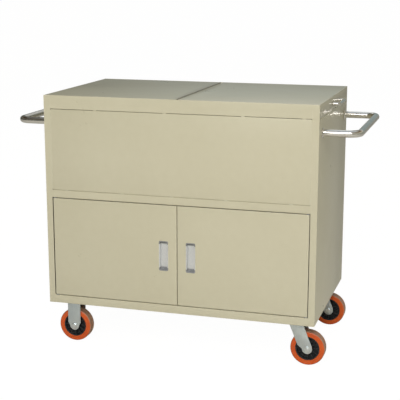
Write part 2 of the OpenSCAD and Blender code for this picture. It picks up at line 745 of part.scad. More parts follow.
// The two ball bearings of a wheel
module bearings(end, side) color(zinc) at_wheel(end, side) for (k = [-1, 1])
    translate([0, 0, k * (hub_w - bearing_w) / 2]) difference() {
        cylinder(r = bearing_r, h = bearing_w, center = true);
        cylinder(r = axle_r + run_fit, h = bearing_w + 2, center = true);
        for (z = [-1, 1]) translate([0, 0, z * bearing_w / 2]) difference() {
            cylinder(r = bearing_r - 2.5, h = 1, center = true);
            cylinder(r = axle_r + 2.5, h = 2, center = true);
        }
    }

front_frame();
side_panel(-1);  // left_side_panel
side_panel(1);  // right_side_panel
back_panel();
floor_pan();
middle_deck();
upper_front_panel();
front_panel_screws();
back_panel_rivets();
lid_centre_beam();
beam_hinge_leaf();
lid_hinge_pin();
caster_channel(-1);  // left_caster_channel
caster_channel(1);  // right_caster_channel
push_handle(-1);  // left_push_handle
push_handle(1);  // right_push_handle
handle_flanges();
handle_bolts();
door_pivot_pins();
door_catches();
caster_bolts();
left_axle_bolts();
fixed_bracket(-1);  // front_left_bracket
fixed_bracket(1);  // rear_left_bracket
swivel_plate(-1);  // front_right_plate
swivel_plate(1);  // rear_right_plate
king_pin(-1);  // front_right_king_pin
king_pin(1);  // rear_right_king_pin
door(-1);  // left_door
door(1);  // right_door
door_pull(-1);  // left_door_pull
door_pull(1);  // right_door_pull
pull_end_caps(-1);  // left_pull_end_caps
pull_end_caps(1);  // right_pull_end_caps
door_bushes(-1);  // left_door_bushes
door_bushes(1);  // right_door_bushes
lid(-1);  // left_lid
lid(1);  // right_lid
lid_hinge_leaf(-1);  // left_lid_hinge_leaf
lid_hinge_leaf(1);  // right_lid_hinge_leaf
lid_pull(-1);  // left_lid_pull
lid_pull(1);  // right_lid_pull
lid_pull_screws(-1);  // left_lid_pull_screws
lid_pull_screws(1);  // right_lid_pull_screws
swivel_fork(-1);  // front_right_fork
swivel_fork(1);  // rear_right_fork
right_axle_bolt(-1);  // front_right_axle_bolt
right_axle_bolt(1);  // rear_right_axle_bolt
hub(-1, -1);  // front_left_hub
hub(-1, 1);  // rear_left_hub
hub(1, -1);  // front_right_hub
hub(1, 1);  // rear_right_hub
tyre(-1, -1);  // front_left_tyre
tyre(-1, 1);  // rear_left_tyre
tyre(1, -1);  // front_right_tyre
tyre(1, 1);  // rear_right_tyre
bearings(-1, -1);  // front_left_bearings
bearings(-1, 1);  // rear_left_bearings
bearings(1, -1);  // front_right_bearings
bearings(1, 1);  // rear_right_bearings
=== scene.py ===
import math

import bmesh
import bpy
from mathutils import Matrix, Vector


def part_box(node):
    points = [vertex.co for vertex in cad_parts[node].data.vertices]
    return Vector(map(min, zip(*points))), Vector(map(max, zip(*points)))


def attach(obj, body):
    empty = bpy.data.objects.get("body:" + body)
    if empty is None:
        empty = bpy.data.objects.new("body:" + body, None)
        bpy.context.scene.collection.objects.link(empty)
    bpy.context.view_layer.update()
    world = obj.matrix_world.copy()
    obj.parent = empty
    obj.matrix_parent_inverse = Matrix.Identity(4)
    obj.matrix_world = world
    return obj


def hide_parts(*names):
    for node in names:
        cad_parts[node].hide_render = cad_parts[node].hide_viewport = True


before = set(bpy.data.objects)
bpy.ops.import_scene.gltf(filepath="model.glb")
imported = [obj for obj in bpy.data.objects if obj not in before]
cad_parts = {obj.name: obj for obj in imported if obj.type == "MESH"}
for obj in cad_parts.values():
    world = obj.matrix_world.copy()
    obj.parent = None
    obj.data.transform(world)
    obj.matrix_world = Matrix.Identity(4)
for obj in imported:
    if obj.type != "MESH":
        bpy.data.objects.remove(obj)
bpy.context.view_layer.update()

# -----------------------------------------------------------------------------
# Camera. It stands in front and to the right, a little above the cart's top,
# with a long lens, and looks slightly down.
bpy.ops.object.select_all(action="DESELECT")
bpy.ops.object.camera_add(
    location=(1.090, -3.678, 1.374),
    rotation=(math.radians(90 - 12.52), 0, math.radians(16.56)),
)
camera = bpy.context.object
camera.name = "studio_camera"
camera.data.sensor_width = 36
camera.data.lens = 92.9
camera.data.dof.use_dof = False
bpy.context.scene.camera = camera

# -----------------------------------------------------------------------------
# Studio. A pale floor that runs out of sight, a large soft light high in front
# and a weaker one high behind, so that the front face is the brightest.
FLOOR_SIZE = 160
CART_MIDDLE = Vector((0, 0, 0.5))

scene = bpy.context.scene
scene.view_settings.view_transform = "Standard"
scene.view_settings.look = "None"


def new_material(name):
    """A material whose node tree holds only an output; returns it, its nodes and its links."""
    material = bpy.data.materials.new(name)
    material.use_nodes = True
    nodes, links = material.node_tree.nodes, material.node_tree.links
    nodes.clear()
    nodes.new("ShaderNodeOutputMaterial")
    return material, nodes, links


def flood(nodes, links, shown, lit, out):
    """Shows one shader to the camera and lights the scene with the other."""
    path = nodes.new("ShaderNodeLightPath")
    mix = nodes.new("ShaderNodeMixShader")
    links.new(path.outputs["Is Camera Ray"], mix.inputs["Fac"])
    links.new(lit, mix.inputs[1])
    links.new(shown, mix.inputs[2])
    links.new(mix.outputs["Shader"], out)


floor_finish, nodes, links = new_material("studio_floor")
shader = nodes.new("ShaderNodeBsdfPrincipled")
shader.inputs["Base Color"].default_value = (0.84, 0.82, 0.76, 1)
shader.inputs["Roughness"].default_value = 0.9
shader.inputs["Specular IOR Level"].default_value = 0.1
glow = nodes.new("ShaderNodeEmission")
glow.inputs["Color"].default_value = (1, 1, 1, 1)
glow.inputs["Strength"].default_value = 1.04
pale = nodes.new("ShaderNodeMixShader")
pale.inputs["Fac"].default_value = 0.06
links.new(glow.outputs["Emission"], pale.inputs[1])
links.new(shader.outputs["BSDF"], pale.inputs[2])
floor_out = nodes["Material Output"]
flood(nodes, links, pale.outputs["Shader"], shader.outputs["BSDF"], floor_out.inputs["Surface"])

bpy.ops.mesh.primitive_plane_add(size=FLOOR_SIZE, location=(0, 0, 0))
floor = bpy.context.object
floor.name = "studio_floor"
floor.data.materials.append(floor_finish)

world = bpy.data.worlds.new("studio_air")
scene.world = world
world.use_nodes = True
nodes, links = world.node_tree.nodes, world.node_tree.links
nodes.clear()
world_out = nodes.new("ShaderNodeOutputWorld")
direction = nodes.new("ShaderNodeSeparateXYZ")
links.new(nodes.new("ShaderNodeTexCoord").outputs["Generated"], direction.inputs["Vector"])
bands = nodes.new("ShaderNodeValToRGB")
links.new(direction.outputs["Z"], bands.inputs["Fac"])
AIR_BANDS = [
    (0.00, (0.52, 0.54, 0.50, 1)), (0.17, (0.43, 0.53, 0.52, 1)), (0.27, (0.48, 0.58, 0.58, 1)),
    (0.36, (0.95, 0.96, 0.94, 1)), (0.50, (0.80, 0.78, 0.72, 1)), (0.60, (0.26, 0.20, 0.14, 1)),
    (0.76, (0.30, 0.25, 0.19, 1)), (0.86, (0.85, 0.93, 1.00, 1)),
]
for band, (height, colour) in enumerate(AIR_BANDS):
    stop = bands.color_ramp.elements[band] if band < 2 else bands.color_ramp.elements.new(height)
    stop.position, stop.color = height, colour


def tint_side(colour, from_x, to_x, tint):
    """Multiplies the air's colour by a tint, which sets in between two X directions."""
    side = nodes.new("ShaderNodeMapRange")
    links.new(direction.outputs["X"], side.inputs["Value"])
    side.inputs["From Min"].default_value = from_x
    side.inputs["From Max"].default_value = to_x
    tinted = nodes.new("ShaderNodeMix")
    tinted.data_type = "RGBA"
    tinted.blend_type = "MULTIPLY"
    links.new(side.outputs["Result"], tinted.inputs["Factor"])
    links.new(colour, tinted.inputs[6])
    tinted.inputs[7].default_value = tint
    return tinted.outputs[2]


warmed = tint_side(bands.outputs["Color"], 0.1, 0.8, (1.12, 1.02, 0.84, 1))
shaded = tint_side(warmed, -0.27, -0.45, (0.30, 0.27, 0.22, 1))
air = nodes.new("ShaderNodeBackground")
links.new(shaded, air.inputs["Color"])
air.inputs["Strength"].default_value = 0.62
backdrop = nodes.new("ShaderNodeBackground")
backdrop.inputs["Color"].default_value = (1, 1, 1, 1)
shown, lit = backdrop.outputs["Background"], air.outputs["Background"]
flood(nodes, links, shown, lit, world_out.inputs["Surface"])


def soft_light(name, place, size, power, colour):
    """A rectangular soft box that points at the middle of the cart."""
    bpy.ops.object.light_add(type="AREA", location=place)
    light = bpy.context.object
    light.name = name
    light.data.shape = "RECTANGLE"
    light.data.size, light.data.size_y = size
    light.data.energy = power
    light.data.color = colour
    aim = CART_MIDDLE - Vector(place)
    light.rotation_euler = aim.to_track_quat("-Z", "Y").to_euler()


soft_light("front_soft_box", (0.9, -4.6, 3.3), (2.6, 2.2), 168, (1.0, 0.965, 0.925))
soft_light("rear_soft_box", (-1.2, 3.6, 4.6), (3.0, 3.0), 24, (0.93, 0.99, 1.0))

# -----------------------------------------------------------------------------
# Front frame. The beige face of the cabinet: one steel sheet with an upper and
# a lower window, whose rails are folded inwards, powder coated with a faint peel.
SHEET = 0.0015
RAIL_FOLD = 0.040
HEM = 0.010
FRAME_BEND = 0.0014
PANEL_GAP, DOOR_SIDE_GAP, DOOR_GAP = 0.0015, 0.00275, 0.003
ON_LINE, DOUBLES = 1e-5, 1e-6
# Which points count as rounded edges, which the materials colour paler: partly wear, partly painted
# highlight.
MARKED_EDGE_TURN, MARKED_EDGE_FACE = 0.15, 4e-4
FACING, SHARP_TURN = 0.9, 0.5


def pick(kind, wanted):
    """In edit mode, selects just the verts, edges or faces that wanted() accepts."""
    bpy.ops.mesh.select_mode(type=kind)
    bpy.ops.mesh.select_all(action="DESELECT")
    mesh = bmesh.from_edit_mesh(bpy.context.object.data)
    mesh.normal_update()
    for part in {"VERT": mesh.verts, "EDGE": mesh.edges, "FACE": mesh.faces}[kind]:
        if wanted(part):
            part.select_set(True)
    bmesh.update_edit_mesh(bpy.context.object.data)


def middle(edge):
    return (edge.verts[0].co + edge.verts[1].co) / 2


def at(value, line):
    return abs(value - line) < ON_LINE


def along(edge, axis):
    """True where an edge runs along the X, Y or Z axis, given as 0, 1 or 2."""
    run = edge.verts[1].co - edge.verts[0].co
    return abs(run[axis]) > 0.99 * run.length


def lay_down():
    """Leaves edit mode and deselects everything."""
    if bpy.context.mode != "OBJECT":
        bpy.ops.object.mode_set(mode="OBJECT")
    bpy.ops.object.select_all(action="DESELECT")


def take_up(*pieces):
    """Selects just these pieces and makes the first one active."""
    lay_down()
    for piece in pieces:
        piece.select_set(True)
    bpy.context.view_layer.objects.active = pieces[0]


def start_piece(name, scale=(1, 1, 1)):
    """Names the primitive just added, puts its place and scale in its mesh, and opens it."""
    piece = bpy.context.object
    piece.name = piece.data.name = name
    piece.scale = scale
    bpy.ops.object.transform_apply(location=True, rotation=True, scale=True)
    bpy.ops.object.mode_set(mode="EDIT")
    return piece


def start_box(name, low, high):
    """A cube primitive that fills the box between two corners, in edit mode."""
    lay_down()
    bpy.ops.mesh.primitive_cube_add(size=1, location=(Vector(low) + Vector(high)) / 2)
    return start_piece(name, Vector(high) - Vector(low))


def extrude_by(run):
    bpy.ops.mesh.extrude_region_move(TRANSFORM_OT_translate={"value": run})


def select_whole():
    bpy.ops.mesh.select_all(action="SELECT")


def round_edges(wanted, offset, segments=2):
    """Bevels the edges that wanted() accepts."""
    pick("EDGE", wanted)
    bpy.ops.mesh.bevel(offset=offset, segments=segments, affect="EDGES")


def use_modifier(piece, kind, **settings):
    """Adds a modifier and applies it at once."""
    bpy.ops.object.mode_set(mode="OBJECT")
    modifier = piece.modifiers.new(kind.lower(), kind)
    for setting, value in settings.items():
        setattr(modifier, setting, value)
    bpy.ops.object.modifier_apply(modifier=modifier.name)


def thicken(piece, thickness):
    """Gives a sheet its wall, inwards from the shape drawn."""
    use_modifier(piece, "SOLIDIFY", thickness=thickness, offset=-1, use_even_offset=True)


def mark_worn_and_highlit_edges(piece):
    """Writes 1 to the attribute 'edge' on the points of rounded edges, and 0 on the flats. The materials
    colour these edges paler, partly as wear and partly as a painted highlight.
    """
    mesh = piece.data
    bends = bmesh.new()
    bends.from_mesh(mesh)
    bends.normal_update()
    values = []
    for vert in bends.verts:
        widest = max((face.calc_area() for face in vert.link_faces), default=0)
        turn = max((edge.calc_face_angle(0) for edge in vert.link_edges), default=0)
        rounded = turn > MARKED_EDGE_TURN and widest < MARKED_EDGE_FACE and len(vert.link_faces) > 1
        values.append(1.0 if rounded else 0.0)
    bends.free()
    edge = mesh.attributes.get("edge") or mesh.attributes.new("edge", "FLOAT", "POINT")
    edge.data.foreach_set("value", values)


def hand_over(piece, body, slot, material, *nodes, angle=32):
    """Finishes a piece: smooth shading, edge marks, material, the body it rides on, and the CAD nodes it
    replaces hidden.
    """
    take_up(piece)
    bpy.ops.object.shade_smooth_by_angle(angle=math.radians(angle))
    mark_worn_and_highlit_edges(piece)
    piece.data.materials.clear()
    piece.data.materials.append(material)
    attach(piece, body)
    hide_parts(*nodes)


def new_group(name, inputs, outputs):
    """An empty shader node group; inputs and outputs are (name, socket type, value)."""
    group = bpy.data.node_groups.new(name, "ShaderNodeTree")
    for label, kind, value in inputs:
        socket = group.interface.new_socket(label, in_out="INPUT", socket_type=kind)
        if value is not None:
            socket.default_value = value
    for label, kind in outputs:
        group.interface.new_socket(label, in_out="OUTPUT", socket_type=kind)
    start, end = group.nodes.new("NodeGroupInput"), group.nodes.new("NodeGroupOutput")
    return group, group.nodes, group.links, start, end


def math_node(nodes, links, operation, *values):
    """A Math node; each value is a number or the socket that feeds it."""
    node = nodes.new("ShaderNodeMath")
    node.operation = operation
    for slot_at, value in enumerate(values):
        if isinstance(value, (int, float)):
            node.inputs[slot_at].default_value = value
        else:
            links.new(value, node.inputs[slot_at])
    return node.outputs["Value"]


def noise_node(nodes, links, vector, scale, detail=2.0, roughness=0.5):
    node = nodes.new("ShaderNodeTexNoise")
    links.new(vector, node.inputs["Vector"])
    if isinstance(scale, (int, float)):
        node.inputs["Scale"].default_value = scale
    else:
        links.new(scale, node.inputs["Scale"])
    node.inputs["Detail"].default_value = detail
    node.inputs["Roughness"].default_value = roughness
    return node.outputs["Fac"]


# Soft mottling: a value round 0.5 that drifts over tens of centimetres and has a finer part.
MOTTLE, nodes, links, start, end = new_group(
    "mottle",
    [("Vector", "NodeSocketVector", None), ("Scale", "NodeSocketFloat", 4.0)],
    [("Value", "NodeSocketFloat")],
)
broad = noise_node(nodes, links, start.outputs["Vector"], start.outputs["Scale"], 1.0)
fine_scale = math_node(nodes, links, "MULTIPLY", start.outputs["Scale"], 14.0)
fine = noise_node(nodes, links, start.outputs["Vector"], fine_scale, 3.0)
share = math_node(nodes, links, "MULTIPLY", fine, 0.3)
total = math_node(nodes, links, "MULTIPLY_ADD", broad, 0.7, share)
links.new(total, end.inputs["Value"])

# Edge wear and painted highlight: a paler colour on a piece's rounded edges, partly rubbing
# and partly a painted highlight for the light the edges catch, broken up by noise.
EDGE_WEAR_AND_HIGHLIGHT, nodes, links, start, end = new_group(
    "edge_wear_and_highlight",
    [
        ("Vector", "NodeSocketVector", None), ("Scale", "NodeSocketFloat", 60.0),
        ("Amount", "NodeSocketFloat", 0.5),
    ],
    [("Mask", "NodeSocketFloat")],
)
on_edge = nodes.new("ShaderNodeAttribute")
on_edge.attribute_name = "edge"
patches = noise_node(nodes, links, start.outputs["Vector"], start.outputs["Scale"], 4.0, 0.7)
kept = math_node(nodes, links, "SUBTRACT", start.outputs["Amount"], patches)
kept = math_node(nodes, links, "MULTIPLY_ADD", kept, 4.0, 0.5)
kept.node.use_clamp = True
masked = math_node(nodes, links, "MULTIPLY", kept, on_edge.outputs["Fac"])
links.new(masked, end.inputs["Mask"])


def add_group(nodes, links, group, vector, **values):
    """Places a node group in a material, fed with a vector and its own values."""
    node = nodes.new("ShaderNodeGroup")
    node.node_tree = group
    links.new(vector, node.inputs["Vector"])
    for label, value in values.items():
        node.inputs[label].default_value = value
    return node


def mix_colour(nodes, links, factor, first, second):
    """Mixes two colours; each is a colour or the socket that feeds it."""
    node = nodes.new("ShaderNodeMix")
    node.data_type = "RGBA"
    links.new(factor, node.inputs["Factor"])
    for socket, value in ((node.inputs[6], first), (node.inputs[7], second)):
        if isinstance(value, tuple):
            socket.default_value = (*value, 1)
        else:
            links.new(value, socket)
    return node.outputs[2]


def spread(nodes, links, value, low, high):
    """Maps a value of 0.3 to 0.7 to the range low to high."""
    node = nodes.new("ShaderNodeMapRange")
    links.new(value, node.inputs["Value"])
    node.inputs["From Min"].default_value = 0.3
    node.inputs["From Max"].default_value = 0.7
    node.inputs["To Min"].default_value = low
    node.inputs["To Max"].default_value = high
    return node.outputs["Result"]


def bump_node(nodes, links, height, strength, distance, normal=None):
    node = nodes.new("ShaderNodeBump")
    node.inputs["Strength"].default_value = strength
    node.inputs["Distance"].default_value = distance
    links.new(height, node.inputs["Height"])
    if normal is not None:
        links.new(normal, node.inputs["Normal"])
    return node.outputs["Normal"]


def start_material(name):
    """A material with a Principled shader, and the Object coordinates to place patterns by."""
    material, nodes, links = new_material(name)
    shader = nodes.new("ShaderNodeBsdfPrincipled")
    links.new(shader.outputs["BSDF"], nodes["Material Output"].inputs["Surface"])
    place = nodes.new("ShaderNodeTexCoord").outputs["Object"]
    return material, nodes, links, shader, place


def start_finish(name, scale, first, second, rough, wear_and_highlight=None, metallic=0.0, gloss_scale=None):
    """A material whose colour and roughness drift; its optional paler rounded edges, partly wear and
    partly painted highlight, are given by their scale, amount and colour.
    """
    material, nodes, links, shader, place = start_material(name)
    mottle = add_group(nodes, links, MOTTLE, place, Scale=scale).outputs["Value"]
    tint = mix_colour(nodes, links, spread(nodes, links, mottle, 0.0, 1.0), first, second)
    # Paler rounded edges: partly wear, partly painted highlight.
    if wear_and_highlight:
        wear_and_highlight_mask = add_group(nodes, links, EDGE_WEAR_AND_HIGHLIGHT, place, Scale=wear_and_highlight[0], Amount=wear_and_highlight[1]).outputs["Mask"]
        tint = mix_colour(nodes, links, wear_and_highlight_mask, tint, wear_and_highlight[2])
    links.new(tint, shader.inputs["Base Color"])
    if gloss_scale:
        mottle = add_group(nodes, links, MOTTLE, place, Scale=gloss_scale).outputs["Value"]
    links.new(spread(nodes, links, mottle, *rough), shader.inputs["Roughness"])
    shader.inputs["Metallic"].default_value = metallic
    return material, nodes, links, shader, place


# Beige powder coat; its rounded edges are paler, partly wear and partly a painted highlight.
BEIGE_PAINT, nodes, links, shader, place = start_finish(
    "beige_powder_coat", 2.6, (0.575, 0.545, 0.405), (0.615, 0.588, 0.448), (0.27, 0.37),
    wear_and_highlight=(45.0, 0.5, (0.70, 0.68, 0.56)), gloss_scale=7.0,
)
shader.inputs["Coat Weight"].default_value = 0.35
shader.inputs["Coat Roughness"].default_value = 0.12
peel = noise_node(nodes, links, place, 420.0, 1.0)
waves = noise_node(nodes, links, place, 9.0, 1.0)
dents = bump_node(nodes, links, waves, 0.25, 0.0012)
links.new(bump_node(nodes, links, peel, 0.12, 0.0003, dents), shader.inputs["Normal"])

frame_low, frame_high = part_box("front_frame")
panel_low, panel_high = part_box("upper_front_panel")
door_low, door_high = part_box("left_door")
front_y = frame_low.y
windows = [
    (panel_high.x + PANEL_GAP, panel_low.z - PANEL_GAP, panel_high.z + PANEL_GAP),
    (-door_low.x + DOOR_SIDE_GAP, door_low.z - DOOR_GAP, door_high.z + DOOR_GAP),
]


def delete_faces(wanted):
    pick("FACE", wanted)
    bpy.ops.mesh.delete(type="FACE")


def cut_lines(cuts):
    """Bisects the selected faces at each (point, normal)."""
    for point, normal in cuts:
        select_whole()
        bpy.ops.mesh.bisect(plane_co=point, plane_no=normal)




def start_upright_sheet(name, low, high, y, turn):
    """A flat sheet that stands at y and fills the box's width and height, in edit mode."""
    lay_down()
    centre = (0, y, (low.z + high.z) / 2)
    bpy.ops.mesh.primitive_plane_add(size=1, location=centre, rotation=(math.radians(turn), 0, 0))
    return start_piece(name, (high.x - low.x, high.z - low.z, 1))


face = start_upright_sheet("front_frame_face", frame_low, frame_high, front_y, 90)
lines = []
for half, bottom, top in windows:
    lines += [((side * half, 0, 0), (1, 0, 0)) for side in (-1, 1)]
    lines += [((0, 0, z), (0, 0, 1)) for z in (bottom, top)]
cut_lines(lines)
for half, bottom, top in windows:
    delete_faces(
        lambda f: abs(f.calc_center_median().x) < half and bottom < f.calc_center_median().z < top
    )


def fold_edges(wanted, run):
    """Extrudes the edges that wanted() accepts along run, as a fold of the sheet."""
    pick("EDGE", wanted)
    extrude_by(run)


for half, bottom, top in windows:
    for z in (bottom, top):
        fold_edges(
            lambda e: along(e, 0) and at(middle(e).z, z) and abs(middle(e).x) < half
            and e.is_boundary and at(middle(e).y, front_y),
            (0, RAIL_FOLD / 2 if at(z, windows[0][2]) else RAIL_FOLD, 0),
        )
fold_edges(lambda e: along(e, 0) and at(middle(e).z, frame_high.z), (0, 2 * SHEET, 0))
fold_edges(
    lambda e: along(e, 0) and at(middle(e).z, frame_high.z) and middle(e).y > front_y + SHEET,
    (0, 0, -HEM),
)
fold_edges(
    lambda e: along(e, 0) and at(middle(e).z, frame_low.z) and abs(middle(e).x) < windows[1][0],
    (0, RAIL_FOLD, 0),
)
round_edges(lambda e: not e.is_boundary and e.calc_face_angle(0) > SHARP_TURN, FRAME_BEND, 3)
thicken(face, SHEET)
hand_over(face, "cabinet", "cabinet_paint", BEIGE_PAINT, "front_frame")

# -----------------------------------------------------------------------------
# Upper front panel. A flat tray of thin sheet with its edges folded in, which
# closes the bin's front. Short welds bridge the seams over and under it, the
# upright seams are filled almost flush, and all is painted over.
THIN_SHEET = 0.0012
PANEL_BEND, WELD_ROUND = 0.0014, 0.0003
STITCH_LENGTH, STITCH_PROUD = 0.013, 0.0002
FILLER_SUNK, FILLER_SHORTER = 0.0003, 0.002
WELD_DEPTH, WELD_BITE = 0.0012, 0.0005
TOP_STITCHES = (-0.304, -0.044, 0.237, 0.448)
FOOT_STITCHES = (-0.420, -0.206, -0.019, 0.179, 0.409)


def round_bends(radius, segments=3):
    """Bevels the edges where two faces meet at an angle."""
    round_edges(
        lambda e: len(e.link_faces) == 2 and e.calc_face_angle(0) > SHARP_TURN, radius, segments
    )


panel = start_box("upper_front_panel_tray", panel_low, panel_high)
delete_faces(lambda f: f.normal.y > FACING)
round_bends(PANEL_BEND)
thicken(panel, THIN_SHEET)
hand_over(panel, "cabinet", "cabinet_paint", BEIGE_PAINT, "upper_front_panel")


def add_box(low, high):
    """Adds a box to the mesh that is open in edit mode."""
    centre, size = (Vector(low) + Vector(high)) / 2, Vector(high) - Vector(low)
    bpy.ops.mesh.primitive_cube_add(size=1, location=centre, scale=size)


def stitch_box(x, z):
    """The low and high corners of one weld that bridges a seam at height z."""
    half, reach = STITCH_LENGTH / 2, PANEL_GAP / 2 + WELD_BITE
    return (x - half, front_y - STITCH_PROUD, z - reach), (x + half, front_y + WELD_DEPTH, z + reach)


top_seam, foot_seam = panel_high.z + PANEL_GAP / 2, panel_low.z - PANEL_GAP / 2
spots = [(x, top_seam) for x in TOP_STITCHES] + [(x, foot_seam) for x in FOOT_STITCHES]
stitches = start_box("panel_stitch_welds", *stitch_box(*spots[0]))
for x, z in spots[1:]:
    add_box(*stitch_box(x, z))
for side in (-1, 1):
    filled = side * (panel_high.x + PANEL_GAP / 2)
    half = PANEL_GAP / 2 + WELD_BITE
    add_box(
        (filled - half, front_y + FILLER_SUNK, panel_low.z + FILLER_SHORTER),
        (filled + half, front_y + WELD_DEPTH, panel_high.z - FILLER_SHORTER),
    )
round_bends(WELD_ROUND, 2)
hand_over(stitches, "cabinet", "cabinet_paint", BEIGE_PAINT)

# -----------------------------------------------------------------------------
# End panels. Thick sheet with a fold along each edge, welded between the front
# frame and the back. The left one mirrors the right one.
TOP_FOLD_SHORTER, FOOT_FOLD_SHORTER = 0.002, 0.008
FOLD_LINE = 0.012
END_BEND = 0.0018
MIRRORED = (-1, 1, 1)


def close_shell():
    """Merges doubles and turns the normals of the whole mesh outwards."""
    select_whole()
    bpy.ops.mesh.remove_doubles(threshold=DOUBLES)
    bpy.ops.mesh.normals_make_consistent(inside=False)


def twin(piece, name, scale=(1, 1, 1), move=(0, 0, 0)):
    """A copy with its own mesh, mirrored and moved in edit mode."""
    take_up(piece)
    bpy.ops.object.duplicate(linked=False)
    copy = bpy.context.object
    copy.parent = None
    copy.name = copy.data.name = name
    bpy.ops.object.mode_set(mode="EDIT")
    select_whole()
    bpy.ops.transform.resize(value=scale, center_override=(0, 0, 0))
    bpy.ops.transform.translate(value=move)
    if scale[0] * scale[1] * scale[2] < 0:
        bpy.ops.mesh.flip_normals()
    bpy.ops.object.mode_set(mode="OBJECT")
    return copy


side_low, side_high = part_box("right_side_panel")
end_panel = start_box("right_end_panel", side_low, side_high)
foot_line, top_line = side_low.z + FOLD_LINE, side_high.z - FOLD_LINE
cut_lines([((0, 0, foot_line), (0, 0, 1)), ((0, 0, top_line), (0, 0, 1))])
delete_faces(lambda f: f.normal.x < -FACING)
for z, shorter in ((side_low.z, FOOT_FOLD_SHORTER), (side_high.z, TOP_FOLD_SHORTER)):
    pick("EDGE", lambda e: along(e, 1) and at(middle(e).z, z) and middle(e).x < side_low.x + SHEET)
    bpy.ops.transform.translate(value=(shorter, 0, 0))
round_bends(END_BEND)
thicken(end_panel, SHEET)
hand_over(end_panel, "cabinet", "cabinet_paint", BEIGE_PAINT, "right_side_panel")
left_end_panel = twin(end_panel, "left_end_panel", MIRRORED)
hand_over(left_end_panel, "cabinet", "cabinet_paint", BEIGE_PAINT, "left_side_panel")

# -----------------------------------------------------------------------------
# Back. One sheet, hemmed along its top, held to the end panels' folds by two
# columns of domed blind rivets.
RIVET_ROWS = 6
RIVET_R, RIVET_DOME = 0.004, 0.0012
BACK_BEND, BACK_SHEET = 0.0013, 0.00147

back_low, back_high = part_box("back_panel")
back = start_upright_sheet("back_sheet", back_low, back_high, back_high.y, -90)
fold_edges(lambda e: along(e, 0) and at(middle(e).z, back_high.z), (0, -2 * SHEET, 0))
fold_edges(
    lambda e: along(e, 0) and at(middle(e).z, back_high.z) and middle(e).y < back_high.y - SHEET,
    (0, 0, -HEM),
)
round_bends(BACK_BEND)
thicken(back, BACK_SHEET)
hand_over(back, "cabinet", "cabinet_paint", BEIGE_PAINT, "back_panel")

# Bright zinc plate: cool grey with a faint crystalline spangle and small duller patches; its rounded
# edges are paler, partly wear and partly a painted highlight.
ZINC, nodes, links, shader, place = start_finish(
    "bright_zinc_plate", 22.0, (0.55, 0.62, 0.67), (0.70, 0.76, 0.78), (0.28, 0.44),
    wear_and_highlight=(120.0, 0.6, (0.79, 0.83, 0.84)), metallic=1.0,
)
cells = nodes.new("ShaderNodeTexVoronoi")
links.new(place, cells.inputs["Vector"])
cells.inputs["Scale"].default_value = 260.0
links.new(bump_node(nodes, links, cells.outputs["Distance"], 0.08, 0.0002), shader.inputs["Normal"])


def to_axis(axis, radius, height):
    """A point of a turned profile, given by its distance from the X, Y or Z axis and along it."""
    return {"X": (height, radius, 0), "Y": (radius, height, 0), "Z": (radius, 0, height)}[axis]


def draw_line(name, points):
    """A chain of edges through the points, in edit mode, extruded from a single point."""
    lay_down()
    bpy.ops.mesh.primitive_plane_add(size=0.001, location=(0, 0, 0))
    line = start_piece(name)
    bpy.ops.mesh.select_mode(type="VERT")
    select_whole()
    bpy.ops.mesh.merge(type="CENTER")
    bpy.ops.transform.translate(value=points[0])
    for last, point in zip(points, points[1:]):
        step = Vector(point) - Vector(last)
        bpy.ops.mesh.extrude_vertices_move(TRANSFORM_OT_translate={"value": step})
    return line


def turn_on_lathe(name, axis, profile, centre, steps=48):
    """Spins a profile of (radius, height) points round an axis, and moves it to its centre."""
    turned = draw_line(name, [to_axis(axis, radius, height) for radius, height in profile])
    select_whole()
    spin_axis = {"X": (1, 0, 0), "Y": (0, 1, 0), "Z": (0, 0, 1)}[axis]
    bpy.ops.mesh.spin(steps=steps, angle=math.tau, center=(0, 0, 0), axis=spin_axis)
    close_shell()
    select_whole()
    bpy.ops.transform.translate(value=centre)
    return turned


def join_pieces(pieces, name):
    """Joins finished meshes into one object."""
    take_up(*pieces)
    bpy.ops.object.join()
    pieces[0].name = pieces[0].data.name = name
    return pieces[0]


rivet_low, rivet_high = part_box("back_panel_rivets")
column = rivet_high.x - RIVET_R
rivet_z = [
    rivet_low.z + RIVET_R + row * (rivet_high.z - rivet_low.z - 2 * RIVET_R) / (RIVET_ROWS - 1)
    for row in range(RIVET_ROWS)
]
dome = [
    (0.0, 0.0004), (0.0011, 0.0004), (0.0014, 0.0011), (0.0022, RIVET_DOME), (0.0031, 0.0009),
    (0.0037, 0.0005), (RIVET_R, 0.0), (0.0018, -0.0001), (0.0018, -0.0024), (0.0, -0.0024),
]
rivet = turn_on_lathe("rivet", "Y", dome, (column, back_high.y, rivet_z[0]), 20)
rivets = [rivet]
for side in (1, -1):
    for z in rivet_z:
        if (side, z) != (1, rivet_z[0]):
            rivets.append(twin(rivet, "rivet_copy", (side, 1, 1), (0, 0, z - rivet_z[0])))
rivets = join_pieces(rivets, "back_rivets")
hand_over(rivets, "cabinet", "zinc_plate", ZINC, "back_panel_rivets")

# -----------------------------------------------------------------------------
# Decks, beam and caster channels. Folded sheet, welded in and painted with the
# cabinet: two floors, the beam under the lids' seam and the casters' channels.


def finish_nodes(material, *nodes):
    """Gives CAD nodes whose shape is already right their material."""
    for name in nodes:
        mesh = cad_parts[name].data
        mesh.materials.clear()
        mesh.materials.append(material)


finish_nodes(BEIGE_PAINT, "floor_pan", "middle_deck", "lid_centre_beam")
finish_nodes(BEIGE_PAINT, "left_caster_channel", "right_caster_channel")
finish_nodes(ZINC, "front_panel_screws", "caster_bolts", "door_pivot_pins")

# -----------------------------------------------------------------------------
# Lids. Two trays of thin sheet that meet in the middle of the top, each with a
# deep hemmed flange at its outer end and short folds in front and behind.
LID_FOLD, LID_HEM, FOLD_START = 0.0152, 0.010, 0.026
LID_BEND = 0.0017

